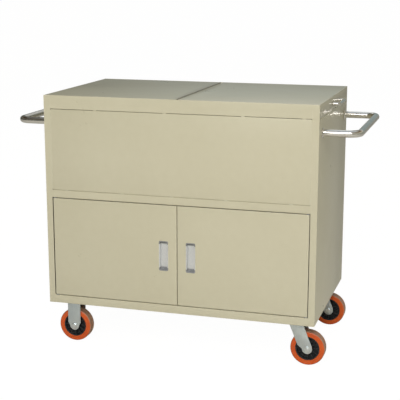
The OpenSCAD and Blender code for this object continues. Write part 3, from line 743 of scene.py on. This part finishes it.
lid_low, lid_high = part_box("right_lid")
lid = start_box("right_lid_tray", lid_low, lid_high)
fold_line = lid_high.z - LID_FOLD
cut_lines([((0, 0, fold_line), (0, 0, 1)), ((FOLD_START, 0, 0), (1, 0, 0))])
delete_faces(
    lambda f: f.normal.z < -FACING
    or f.normal.x < -FACING
    or abs(f.normal.y) > FACING
    and (f.calc_center_median().z < fold_line or f.calc_center_median().x < FOLD_START)
)
fold_edges(lambda e: along(e, 1) and at(middle(e).z, lid_low.z), (-LID_HEM, 0, 0))
round_bends(LID_BEND, 4)
thicken(lid, THIN_SHEET)
hand_over(lid, "right_lid", "cabinet_paint", BEIGE_PAINT, "right_lid")
hand_over(twin(lid, "left_lid_tray", MIRRORED), "left_lid", "cabinet_paint", BEIGE_PAINT, "left_lid")
finish_nodes(ZINC, "left_lid_pull_screws", "right_lid_pull_screws")

# -----------------------------------------------------------------------------
# Hinge. One long pin through the knuckles of three leaves: the fixed one on the
# beam and one under each lid. Plain, dull steel, coloured dark so that the seam
# between the lids shows as a dark line: painted shade in the seam.
GRAIN_DEPTH = 0.0001


def add_grain(nodes, links, shader, vector, scale, detail, strength):
    """A fine grain in the surface, as a bump."""
    grain = noise_node(nodes, links, vector, scale, detail)
    links.new(bump_node(nodes, links, grain, strength, GRAIN_DEPTH), shader.inputs["Normal"])


# Its dark colour is painted shade for the seam between the lids.
HINGE_STEEL, nodes, links, shader, place = start_finish(
    "darkened_hinge_steel", 30.0, (0.34, 0.33, 0.29), (0.46, 0.44, 0.38), (0.42, 0.62), metallic=0.6,
)
add_grain(nodes, links, shader, place, 900.0, 3.0, 0.2)
finish_nodes(HINGE_STEEL, "beam_hinge_leaf", "lid_hinge_pin")
finish_nodes(HINGE_STEEL, "left_lid_hinge_leaf", "right_lid_hinge_leaf")

# -----------------------------------------------------------------------------
# Lid pulls. A bow of polished stainless rod with a turned collar at each foot,
# screwed to the lid's end flange from inside.
BOW_R, BOW_BEND, COLLAR_R, COLLAR_T = 0.005, 0.010, 0.0075, 0.002
TUBE_SIDES, BEND_STEPS = 36, 12

# Polished stainless: bright, with fine polishing lines and a few duller, touched patches.
STAINLESS, nodes, links, shader, place = start_finish(
    "polished_stainless", 16.0, (0.66, 0.64, 0.60), (0.77, 0.75, 0.72), (0.12, 0.22), metallic=1.0,
)


def stretched(nodes, links, vector, scale):
    """The vector with each axis scaled, so that a pattern draws out along the small one."""
    stretch = nodes.new("ShaderNodeMapping")
    stretch.inputs["Scale"].default_value = scale
    links.new(vector, stretch.inputs["Vector"])
    return stretch.outputs["Vector"]


add_grain(nodes, links, shader, stretched(nodes, links, place, (1.0, 0.06, 1.0)), 1400.0, 2.0, 0.05)


def bent_tube(name, low, high, radius, bend, foot_x):
    """A tube bent twice: it leaves foot_x along +X, crosses along +Y and returns."""
    reach, height = high.x - radius, (low.z + high.z) / 2
    near, far = low.y + radius, high.y - radius
    lay_down()
    bpy.ops.mesh.primitive_circle_add(
        vertices=TUBE_SIDES, radius=radius, location=(foot_x, near, height),
        rotation=(0, math.radians(90), 0),
    )
    rod = start_piece(name)
    bpy.ops.mesh.select_mode(type="EDGE")
    select_whole()
    straight = reach - bend - foot_x
    for run, bend_y in (((straight, 0, 0), near + bend), ((0, far - near - 2 * bend, 0), far - bend)):
        extrude_by(run)
        bend_centre = (reach - bend, bend_y, height)
        bpy.ops.mesh.spin(
            steps=BEND_STEPS, angle=math.radians(-90), center=bend_centre, axis=(0, 0, 1)
        )
    extrude_by((-straight, 0, 0))
    select_whole()
    bpy.ops.mesh.remove_doubles(threshold=DOUBLES)
    bpy.ops.mesh.fill_holes(sides=0)
    close_shell()
    return rod


bow_low, bow_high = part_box("right_lid_pull")
collar_inset = COLLAR_R - BOW_R
rod_low = bow_low + Vector((0, collar_inset, collar_inset))
rod_high = bow_high - Vector((0, collar_inset, collar_inset))
bow_z = (bow_low.z + bow_high.z) / 2
bow = bent_tube("right_bow", rod_low, rod_high, BOW_R, BOW_BEND, bow_low.x)
turned_collar = [
    (0.0, 0.0), (0.0070, 0.0), (COLLAR_R, 0.0004), (COLLAR_R, 0.0012), (0.0070, COLLAR_T),
    (0.0058, COLLAR_T), (0.0, COLLAR_T),
]
collar = turn_on_lathe("bow_collar", "X", turned_collar, (bow_low.x, rod_low.y + BOW_R, bow_z), 32)
far_collar = twin(collar, "bow_far_collar", move=(0, rod_high.y - rod_low.y - 2 * BOW_R, 0))
bow = join_pieces([bow, collar, far_collar], "right_bow_pull")
hand_over(bow, "right_lid", "stainless_tube", STAINLESS, "right_lid_pull", angle=40)
left_bow = twin(bow, "left_bow_pull", MIRRORED)
hand_over(left_bow, "left_lid", "stainless_tube", STAINLESS, "left_lid_pull", angle=40)

# -----------------------------------------------------------------------------
# Push handles. Stainless tube bent twice and welded on two round flanges, which
# are bolted to the end panel from inside.
TUBE_R, TUBE_BEND = 0.0125, 0.038

grip_low, grip_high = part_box("right_push_handle")
handle = bent_tube("right_handle", grip_low, grip_high, TUBE_R, TUBE_BEND, grip_low.x)
hand_over(handle, "cabinet", "stainless_tube", STAINLESS, "right_push_handle", angle=40)
left_handle = twin(handle, "left_handle", MIRRORED)
hand_over(left_handle, "cabinet", "stainless_tube", STAINLESS, "left_push_handle", angle=40)

flange_low, flange_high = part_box("handle_flanges")
flange_r = (flange_high.z - flange_low.z) / 2
leg_y = grip_low.y + TUBE_R
disc = [
    (0.0, 0.0), (flange_r - 0.0004, 0.0), (flange_r, 0.0005), (flange_r, 0.0020),
    (flange_r - 0.0010, 0.0030), (0.0150, 0.0031), (0.0138, 0.0038), (0.0126, 0.0052), (0.0, 0.0052),
]
flange_centre = (side_high.x, leg_y, (flange_low.z + flange_high.z) / 2)
flange = turn_on_lathe("handle_flange", "X", disc, flange_centre)
flanges = [flange] + [
    twin(flange, "handle_flange_copy", (x, y, 1)) for x, y in ((1, -1), (-1, 1), (-1, -1))
]
flanges = join_pieces(flanges, "handle_foot_flanges")
hand_over(flanges, "cabinet", "stainless_tube", STAINLESS, "handle_flanges", angle=40)
finish_nodes(ZINC, "handle_bolts")

# -----------------------------------------------------------------------------
# Doors. Trays of thin sheet with folded edges and an inner lip all round, and a
# cut-out for the pull. They turn on pins in nylon bushes at their outer edge.
DOOR_LIP, DOOR_BEND = 0.014, 0.0016
CUP_HALF_W, CUP_HALF_H = 0.015, 0.0525

pull_low, pull_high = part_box("right_door_pull")
pull_middle = (pull_low + pull_high) / 2
right_low, right_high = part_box("right_door")
door = start_box("right_door_tray", right_low, right_high)
delete_faces(lambda f: f.normal.y > FACING)
pick("EDGE", lambda e: e.is_boundary)
bpy.ops.mesh.extrude_region_move()
tray_size, tray_middle = right_high - right_low, (right_low + right_high) / 2
lip_x, lip_z = DOOR_LIP / tray_size.x, DOOR_LIP / tray_size.z
bpy.ops.transform.resize(value=(1 - 2 * lip_x, 1, 1 - 2 * lip_z), center_override=tray_middle)
cut_lines(
    [((pull_middle.x + side * CUP_HALF_W, 0, 0), (1, 0, 0)) for side in (-1, 1)]
    + [((0, 0, pull_middle.z + side * CUP_HALF_H), (0, 0, 1)) for side in (-1, 1)]
)
delete_faces(
    lambda f: f.normal.y < -FACING
    and at(f.calc_center_median().y, right_low.y)
    and abs(f.calc_center_median().x - pull_middle.x) < CUP_HALF_W
    and abs(f.calc_center_median().z - pull_middle.z) < CUP_HALF_H
)
round_bends(DOOR_BEND, 4)
thicken(door, THIN_SHEET)
hand_over(door, "right_door", "cabinet_paint", BEIGE_PAINT, "right_door")
hand_over(twin(door, "left_door_tray", MIRRORED), "left_door", "cabinet_paint", BEIGE_PAINT, "left_door")

# Moulded plastic: even grey with a fine spark-eroded grain and paler edges, partly rubbed and partly a
# painted highlight.
GREY_PLASTIC, nodes, links, shader, place = start_finish(
    "moulded_grey_plastic", 40.0, (0.20, 0.21, 0.22), (0.25, 0.26, 0.27), (0.42, 0.58),
    wear_and_highlight=(200.0, 0.45, (0.34, 0.35, 0.36)),
)
add_grain(nodes, links, shader, place, 2600.0, 2.0, 0.25)
finish_nodes(GREY_PLASTIC, "door_catches", "left_door_bushes", "right_door_bushes")

# -----------------------------------------------------------------------------
# Door pulls. An extruded cup of satin aluminium with gripping ribs on its floor,
# held in the door's cut-out between two moulded grey end caps.
PULL_HALF_W, PULL_PROUD, PULL_DEPTH, PULL_WALL = 0.0175, 0.0012, 0.014, 0.0012
GRIP_RIB, GRIP_RIBS, GRIP_HALF_W, GRIP_MARGIN = 0.0007, 5, 0.001, 0.002
CAP_ROUND, CAP_RIM, CUP_OVERLAP = 0.005, 0.0004, 0.0006

# Satin anodised aluminium: pale, with fine lines along the extrusion and paler rounded edges, partly
# wear and partly a painted highlight.
SATIN_ALUMINIUM, nodes, links, shader, place = start_finish(
    "satin_aluminium", 30.0, (0.72, 0.74, 0.76), (0.80, 0.82, 0.84), (0.34, 0.46),
    wear_and_highlight=(160.0, 0.5, (0.84, 0.85, 0.86)), metallic=0.75,
)
add_grain(nodes, links, shader, stretched(nodes, links, place, (1.0, 1.0, 0.03)), 1800.0, 2.0, 0.2)

outer_x, inner_x = CUP_HALF_W, CUP_HALF_W - PULL_WALL
floor_y = PULL_DEPTH - PULL_WALL
rib_span = inner_x - GRIP_MARGIN
ribs = []
for rib in range(GRIP_RIBS):
    rib_x = -rib_span + (rib + 0.5) * 2 * rib_span / GRIP_RIBS
    ribs += [(rib_x - GRIP_HALF_W, floor_y), (rib_x, floor_y - GRIP_RIB), (rib_x + GRIP_HALF_W, floor_y)]
rim = [
    (PULL_HALF_W, 0.0), (PULL_HALF_W, -0.0008), (PULL_HALF_W - 0.0004, -PULL_PROUD),
    (inner_x + 0.0006, -PULL_PROUD), (inner_x, -0.0006), (inner_x, floor_y - 0.001),
    (inner_x - 0.001, floor_y),
]
back_corner = [(outer_x, 0.0), (outer_x, PULL_DEPTH - 0.0006), (outer_x - 0.0006, PULL_DEPTH)]
section = (
    [(-x, y) for x, y in rim] + ribs + rim[::-1]
    + back_corner + [(-x, y) for x, y in reversed(back_corner)]
)


def extrude_section(name, outline, low_z, high_z):
    """Draws a closed outline at the pull's place and extrudes it upwards."""
    bar = draw_line(name, [(pull_middle.x + x, front_y + y, low_z) for x, y in outline])
    select_whole()
    bpy.ops.mesh.edge_face_add()
    select_whole()
    extrude_by((0, 0, high_z - low_z))
    close_shell()
    return bar


cup = extrude_section("right_pull_cup", section, pull_low.z, pull_high.z)
hand_over(cup, "right_door", "pull_aluminium", SATIN_ALUMINIUM, "right_door_pull", angle=40)
left_cup = twin(cup, "left_pull_cup", MIRRORED)
hand_over(left_cup, "left_door", "pull_aluminium", SATIN_ALUMINIUM, "left_door_pull", angle=40)


def soften(piece, width, angle):
    """Rounds every edge that is sharper than an angle."""
    use_modifier(
        piece, "BEVEL", width=width, segments=2, limit_method="ANGLE", angle_limit=math.radians(angle)
    )


def combine(piece, other, operation):
    """Applies a Boolean with another mesh, which is used up."""
    take_up(piece)
    use_modifier(piece, "BOOLEAN", operation=operation, object=other, solver="EXACT")
    bpy.data.objects.remove(other)


cap_low, cap_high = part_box("right_pull_end_caps")
cap = start_box(
    "right_pull_cap", (cap_low.x, cap_low.y, pull_high.z), (cap_high.x, front_y, cap_high.z)
)
round_edges(lambda e: along(e, 1) and at(middle(e).z, cap_high.z), CAP_ROUND, 6)
cup_end = start_box(
    "cap_cup",
    (pull_middle.x - CUP_HALF_W, front_y - CUP_OVERLAP, pull_high.z),
    (pull_middle.x + CUP_HALF_W, cap_high.y, pull_middle.z + CUP_HALF_H),
)
combine(cap, cup_end, "UNION")
recess = start_box(
    "cap_recess",
    (pull_middle.x - inner_x, cap_low.y - 0.001, pull_high.z - 0.002),
    (pull_middle.x + inner_x, front_y + floor_y, pull_middle.z + CUP_HALF_H - PULL_WALL),
)
combine(cap, recess, "DIFFERENCE")
soften(cap, CAP_RIM, 40)
lower_cap = twin(cap, "lower_cap", (1, 1, -1), (0, 0, 2 * pull_middle.z))
caps = join_pieces([cap, lower_cap], "right_pull_caps")
hand_over(caps, "right_door", "grey_plastic", GREY_PLASTIC, "right_pull_end_caps", angle=40)
left_caps = twin(caps, "left_pull_caps", MIRRORED)
hand_over(left_caps, "left_door", "grey_plastic", GREY_PLASTIC, "left_pull_end_caps", angle=40)

# -----------------------------------------------------------------------------
# Fixed casters, at the left end. A pressed plate with a strap fork welded under
# it, zinc plated, bolted up to the caster channel.
PLATE_T = 0.0035
PLATE_CORNER, PLATE_RIM = 0.009, 0.0006
LEG_HALF_W, LEG_OUTER_Y = 0.025, 0.0265
FORK_END_R, END_SHARE, FORK_RIM = 0.018, 0.998, 0.0005
KNEE_RISE, LEAN_RUN = 0.012, 0.010
SHOULDER_BEND = 0.009
WHEEL_R = 0.0625
CASTER_X, CASTER_Y = 0.425, 0.225


def strap_fork(name, crown_z, shift):
    """A U-shaped strap drawn round X = 0, Y = 0: a crown and two legs that lean by shift to the axle."""
    lay_down()
    bpy.ops.mesh.primitive_plane_add(size=1, location=(0, 0, crown_z))
    strap = start_piece(name, (2 * LEG_HALF_W, 2 * LEG_OUTER_Y, 1))
    pick("EDGE", lambda e: along(e, 0))
    knee_z = WHEEL_R + KNEE_RISE
    lean = shift * (crown_z - knee_z) / (crown_z - WHEEL_R + LEAN_RUN)
    extrude_by((lean, 0, knee_z - crown_z))
    extrude_by((shift - lean, 0, -KNEE_RISE))
    narrow = FORK_END_R / LEG_HALF_W
    bpy.ops.transform.resize(value=(narrow, 1, 1), center_override=(shift, 0, WHEEL_R))
    extrude_by((0, 0, -FORK_END_R))
    pick("VERT", lambda v: at(v.co.z, WHEEL_R - FORK_END_R))
    bpy.ops.mesh.bevel(offset=FORK_END_R * END_SHARE, segments=10, affect="VERTICES")
    round_edges(lambda e: along(e, 0) and at(middle(e).z, crown_z), SHOULDER_BEND, 6)
    close_shell()
    thicken(strap, PLATE_T)
    soften(strap, FORK_RIM, 50)
    return strap


def mounting_plate(name, top_z):
    """The rounded rectangular plate over a fork, round X = 0, Y = 0."""
    low, high = (-plate_half.x, -plate_half.y, top_z - PLATE_T), (plate_half.x, plate_half.y, top_z)
    plate = start_box(name, low, high)
    round_edges(lambda e: along(e, 2), PLATE_CORNER, 6)
    round_edges(lambda e: at(middle(e).z, top_z - PLATE_T) and len(e.link_faces) == 2, PLATE_RIM)
    return plate


bracket_low, bracket_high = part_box("front_left_bracket")
plate_half = (bracket_high - bracket_low) / 2
plate_top = bracket_high.z
fork = strap_fork("fixed_fork", plate_top - PLATE_T, 0.0)
bracket = join_pieces([mounting_plate("fixed_plate", plate_top), fork], "fixed_bracket")
for end, y in (("rear", CASTER_Y), ("front", -CASTER_Y)):
    fixed_bracket = twin(bracket, end + "_left_fixed_bracket", move=(-CASTER_X, y, 0))
    hand_over(fixed_bracket, "cabinet", "zinc_plate", ZINC, end + "_left_bracket", angle=40)
bpy.data.objects.remove(bracket)

# -----------------------------------------------------------------------------
# Swivel casters, at the right end. The plate carries the upper ball race, the
# fork's crown the lower one, and the legs are raked so that the wheel trails.
TRAIL = 0.042
RACE_R, RACE_H = 0.022, 0.0062
CUP_R, CUP_INNER_R, CUP_H = 0.0269, 0.0229, 0.004

crown_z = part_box("front_right_fork")[1].z - CUP_H
race = [
    (0.0, 0.0002), (RACE_R - 0.0002, 0.0002), (RACE_R, -0.0008), (RACE_R, 0.0012 - RACE_H),
    (RACE_R - 0.0012, -RACE_H), (0.0, -RACE_H),
]
cup_ring = [
    (0.0, -0.0030), (CUP_R - 0.0007, -0.0030), (CUP_R, -0.0014), (CUP_R, 0.0026),
    (CUP_R - 0.0010, CUP_H), (CUP_INNER_R + 0.0007, CUP_H), (CUP_INNER_R, CUP_H - 0.0008),
    (CUP_INNER_R, 0.0001), (0.0, 0.0001),
]
upper_race = turn_on_lathe("upper_race", "Z", race, (0, 0, plate_top - PLATE_T), 64)
top_plate = join_pieces([mounting_plate("swivel_plate", plate_top), upper_race], "swivel_plate")
race_cup = turn_on_lathe("race_cup", "Z", cup_ring, (0, 0, crown_z), 64)
raked_fork = join_pieces([strap_fork("swivel_fork", crown_z, TRAIL), race_cup], "swivel_fork")
for end, y in (("front", -CASTER_Y), ("rear", CASTER_Y)):
    plate = twin(top_plate, end + "_right_swivel_plate", move=(CASTER_X, y, 0))
    hand_over(plate, "cabinet", "zinc_plate", ZINC, end + "_right_plate", angle=40)
    fork = twin(raked_fork, end + "_right_swivel_strap", move=(CASTER_X, y, 0))
    hand_over(fork, end + "_right_swivel_fork", "zinc_plate", ZINC, end + "_right_fork", angle=40)
    finish_nodes(ZINC, end + "_right_king_pin")
bpy.data.objects.remove(top_plate)
bpy.data.objects.remove(raked_fork)

# -----------------------------------------------------------------------------
# Axle bolts. A hexagon bolt through both legs, with a plain washer at each side
# and a self-locking nut behind, zinc plated like the forks.
AXLE_R, HEXAGON_R, HEXAGON_CHAMFER = 0.005, 0.009, 0.0009
HEAD_REACH, NUT_REACH, BEDDED = 0.006, 0.008, 0.0001
WASHER_R, WASHER_T = 0.0102, 0.0016


def hexagon_block(name, low_y, high_y, chamfered_y):
    """A hexagon along Y with the corners of one end turned off."""
    lay_down()
    bpy.ops.mesh.primitive_cylinder_add(
        vertices=6, radius=HEXAGON_R, depth=high_y - low_y, location=(0, (low_y + high_y) / 2, 0),
        rotation=(math.radians(90), 0, 0),
    )
    block = start_piece(name)
    round_edges(lambda e: at(middle(e).y, chamfered_y), HEXAGON_CHAMFER)
    return block


def washer(name, low_y):
    rim = WASHER_R - 0.0004
    disc = [
        (0.0, 0.0), (rim, 0.0), (WASHER_R, 0.0004), (WASHER_R, WASHER_T - 0.0004), (rim, WASHER_T),
        (0.0, WASHER_T),
    ]
    return turn_on_lathe(name, "Y", disc, (0, low_y, 0), 40)


head_y, tip_y = -LEG_OUTER_Y - HEAD_REACH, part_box("front_right_axle_bolt")[1].y + CASTER_Y
nut_y, washer_face = LEG_OUTER_Y + NUT_REACH, LEG_OUTER_Y + WASHER_T - BEDDED
shank = [
    (0.0, head_y + 0.001), (AXLE_R, head_y + 0.001), (AXLE_R, tip_y - 0.0012), (AXLE_R - 0.0012, tip_y),
    (0.0, tip_y),
]
axle = join_pieces(
    [
        turn_on_lathe("axle_shank", "Y", shank, (0, 0, 0), 32),
        hexagon_block("axle_head", head_y, -washer_face, head_y),
        hexagon_block("axle_nut", washer_face, nut_y, nut_y),
        washer("head_washer", -LEG_OUTER_Y - WASHER_T),
        washer("nut_washer", LEG_OUTER_Y),
    ],
    "axle_bolt",
)
left_axles = []
for end, y in (("front", -CASTER_Y), ("rear", CASTER_Y)):
    right_axle = twin(axle, end + "_right_axle", move=(CASTER_X + TRAIL, y, WHEEL_R))
    swivel = end + "_right_swivel_fork"
    hand_over(right_axle, swivel, "zinc_plate", ZINC, end + "_right_axle_bolt", angle=35)
    left_axles.append(twin(axle, end + "_left_axle", move=(-CASTER_X, y, WHEEL_R)))
bpy.data.objects.remove(axle)
left_axles = join_pieces(left_axles, "left_axles")
hand_over(left_axles, "cabinet", "zinc_plate", ZINC, "left_axle_bolts", angle=35)

# -----------------------------------------------------------------------------
# Wheels. A moulded nylon core with a thin web and twelve ribs at each side, and
# a cast polyurethane tyre bonded round it, whose tread has gone dull with use.
CORE_R, RIM_T, RIM_HALF, WEB_HALF = 0.044, 0.005, 0.019, 0.004
BOSS_R, BOSS_HALF, BORE_R = 0.017, 0.022, 0.007
BEARING_R, BEARING_W = 0.013, 0.008
RIBS, RIB_HALF_T, RIB_HALF_W, RIB_ROUND = 12, 0.0015, 0.015, 0.0006
TYRE_HALF, TYRE_SHOULDER, FACE_GROOVE = 0.020, 0.006, 0.0006
TREAD_EDGE, TREAD_FADE = 0.0030, 0.0022

# Moulded black nylon: near black and slightly blue, satin, with paler edges on the ribs, partly scuffs
# and partly a painted highlight.
BLACK_NYLON, nodes, links, shader, place = start_finish(
    "moulded_black_nylon", 26.0, (0.004, 0.006, 0.008), (0.008, 0.011, 0.013), (0.38, 0.55),
    wear_and_highlight=(140.0, 0.55, (0.03, 0.034, 0.038)),
)
shader.inputs["Specular IOR Level"].default_value = 0.35
add_grain(nodes, links, shader, place, 1800.0, 2.0, 0.15)

# Orange polyurethane: slightly cloudy on the faces, dull olive brown and scuffed on the tread.
ORANGE_TYRE, nodes, links, shader, place = start_material("orange_polyurethane")
mottle = add_group(nodes, links, MOTTLE, place, Scale=18.0).outputs["Value"]
drift = spread(nodes, links, mottle, 0.0, 1.0)
cloud = mix_colour(nodes, links, drift, (0.58, 0.082, 0.010), (0.70, 0.118, 0.015))
tread = nodes.new("ShaderNodeAttribute")
tread.attribute_name = "tread"
scuff = noise_node(nodes, links, place, 90.0, 4.0, 0.7)
used = math_node(nodes, links, "MULTIPLY", tread.outputs["Fac"], spread(nodes, links, scuff, 0.55, 1.0))
dull = mix_colour(nodes, links, scuff, (0.25, 0.185, 0.130), (0.44, 0.36, 0.27))
links.new(mix_colour(nodes, links, used, cloud, dull), shader.inputs["Base Color"])
links.new(math_node(nodes, links, "MULTIPLY_ADD", used, 0.32, 0.30), shader.inputs["Roughness"])
links.new(bump_node(nodes, links, scuff, 0.2, 0.0003), shader.inputs["Normal"])

# Ground bearing steel, with fine turning marks.
BEARING_STEEL, nodes, links, shader, place = start_finish(
    "bearing_steel", 60.0, (0.55, 0.56, 0.58), (0.66, 0.67, 0.68), (0.24, 0.36), metallic=1.0,
)
add_grain(nodes, links, shader, place, 2200.0, 1.0, 0.1)

core_half = [
    (BORE_R, BOSS_HALF - BEARING_W), (BEARING_R, BOSS_HALF - BEARING_W), (BEARING_R, BOSS_HALF),
    (BOSS_R - 0.0008, BOSS_HALF), (BOSS_R, BOSS_HALF - 0.0008), (BOSS_R + 0.0008, WEB_HALF + 0.002),
    (BOSS_R + 0.0028, WEB_HALF), (CORE_R - RIM_T - 0.002, WEB_HALF), (CORE_R - RIM_T, WEB_HALF + 0.002),
    (CORE_R - RIM_T + 0.0006, RIM_HALF - 0.0008), (CORE_R - RIM_T + 0.0014, RIM_HALF),
    (CORE_R - 0.0004, RIM_HALF), (CORE_R, RIM_HALF - 0.0006),
]
whole_core = core_half + [(r, -y) for r, y in reversed(core_half)] + core_half[:1]
core = turn_on_lathe("wheel_core", "Y", whole_core, (0, 0, 0), 96)
rib_start, rib_end = BOSS_R - 0.001, CORE_R - RIM_T + 0.0015
spoke = start_box(
    "core_rib", (rib_start, -RIB_HALF_W, -RIB_HALF_T), (rib_end, RIB_HALF_W, RIB_HALF_T)
)
round_edges(lambda e: along(e, 0), RIB_ROUND)
spokes = [spoke]
for rib in range(1, RIBS):
    copy = twin(spoke, "core_rib_copy")
    bpy.ops.object.mode_set(mode="EDIT")
    select_whole()
    bpy.ops.transform.rotate(value=rib * math.tau / RIBS, orient_axis="Y", center_override=(0, 0, 0))
    spokes.append(copy)
spokes = join_pieces(spokes, "core_ribs")
combine(core, spokes, "UNION")

tyre_half = [
    (CORE_R, TYRE_HALF - 0.0006), (CORE_R + 0.0006, TYRE_HALF), (CORE_R + 0.0035, TYRE_HALF),
    (CORE_R + 0.0041, TYRE_HALF - FACE_GROOVE), (CORE_R + 0.0051, TYRE_HALF - FACE_GROOVE),
    (CORE_R + 0.0057, TYRE_HALF),
] + [
    (
        WHEEL_R - TYRE_SHOULDER + TYRE_SHOULDER * math.sin(math.radians(turn)),
        TYRE_HALF - TYRE_SHOULDER + TYRE_SHOULDER * math.cos(math.radians(turn)),
    )
    for turn in range(0, 91, 10)
] + [(WHEEL_R, 0.0035), (WHEEL_R - 0.0003, 0.0028), (WHEEL_R - 0.0003, 0.0008), (WHEEL_R, 0.0002)]
whole_tyre = tyre_half + [(r, -y) for r, y in reversed(tyre_half)] + tyre_half[:1]
tyre = turn_on_lathe("wheel_tyre", "Y", whole_tyre, (0, 0, 0), 128)
lay_down()


def mark_tread(piece, centre):
    """Writes 1 to the attribute 'tread' on the running surface, and 0 on the faces."""
    values = []
    for vert in piece.data.vertices:
        radius = math.hypot(vert.co.x - centre.x, vert.co.z - centre.z)
        values.append(min(1.0, max(0.0, (radius - WHEEL_R + TREAD_EDGE) / TREAD_FADE)))
    piece.data.attributes.new("tread", "FLOAT", "POINT").data.foreach_set("value", values)


for end, y in (("front", -CASTER_Y), ("rear", CASTER_Y)):
    for side, x in (("left", -CASTER_X), ("right", CASTER_X + TRAIL)):
        name, centre = end + "_" + side, Vector((x, y, WHEEL_R))
        wheel_core = twin(core, name + "_wheel_core", move=centre)
        wheel = name + "_wheel"
        hand_over(wheel_core, wheel, "black_nylon", BLACK_NYLON, name + "_hub", angle=35)
        wheel_tyre = twin(tyre, name + "_wheel_tyre", move=centre)
        hand_over(wheel_tyre, wheel, "orange_polyurethane", ORANGE_TYRE, name + "_tyre", angle=35)
        mark_tread(wheel_tyre, centre)
        finish_nodes(BEARING_STEEL, name + "_bearings")
bpy.data.objects.remove(core)
bpy.data.objects.remove(tyre)
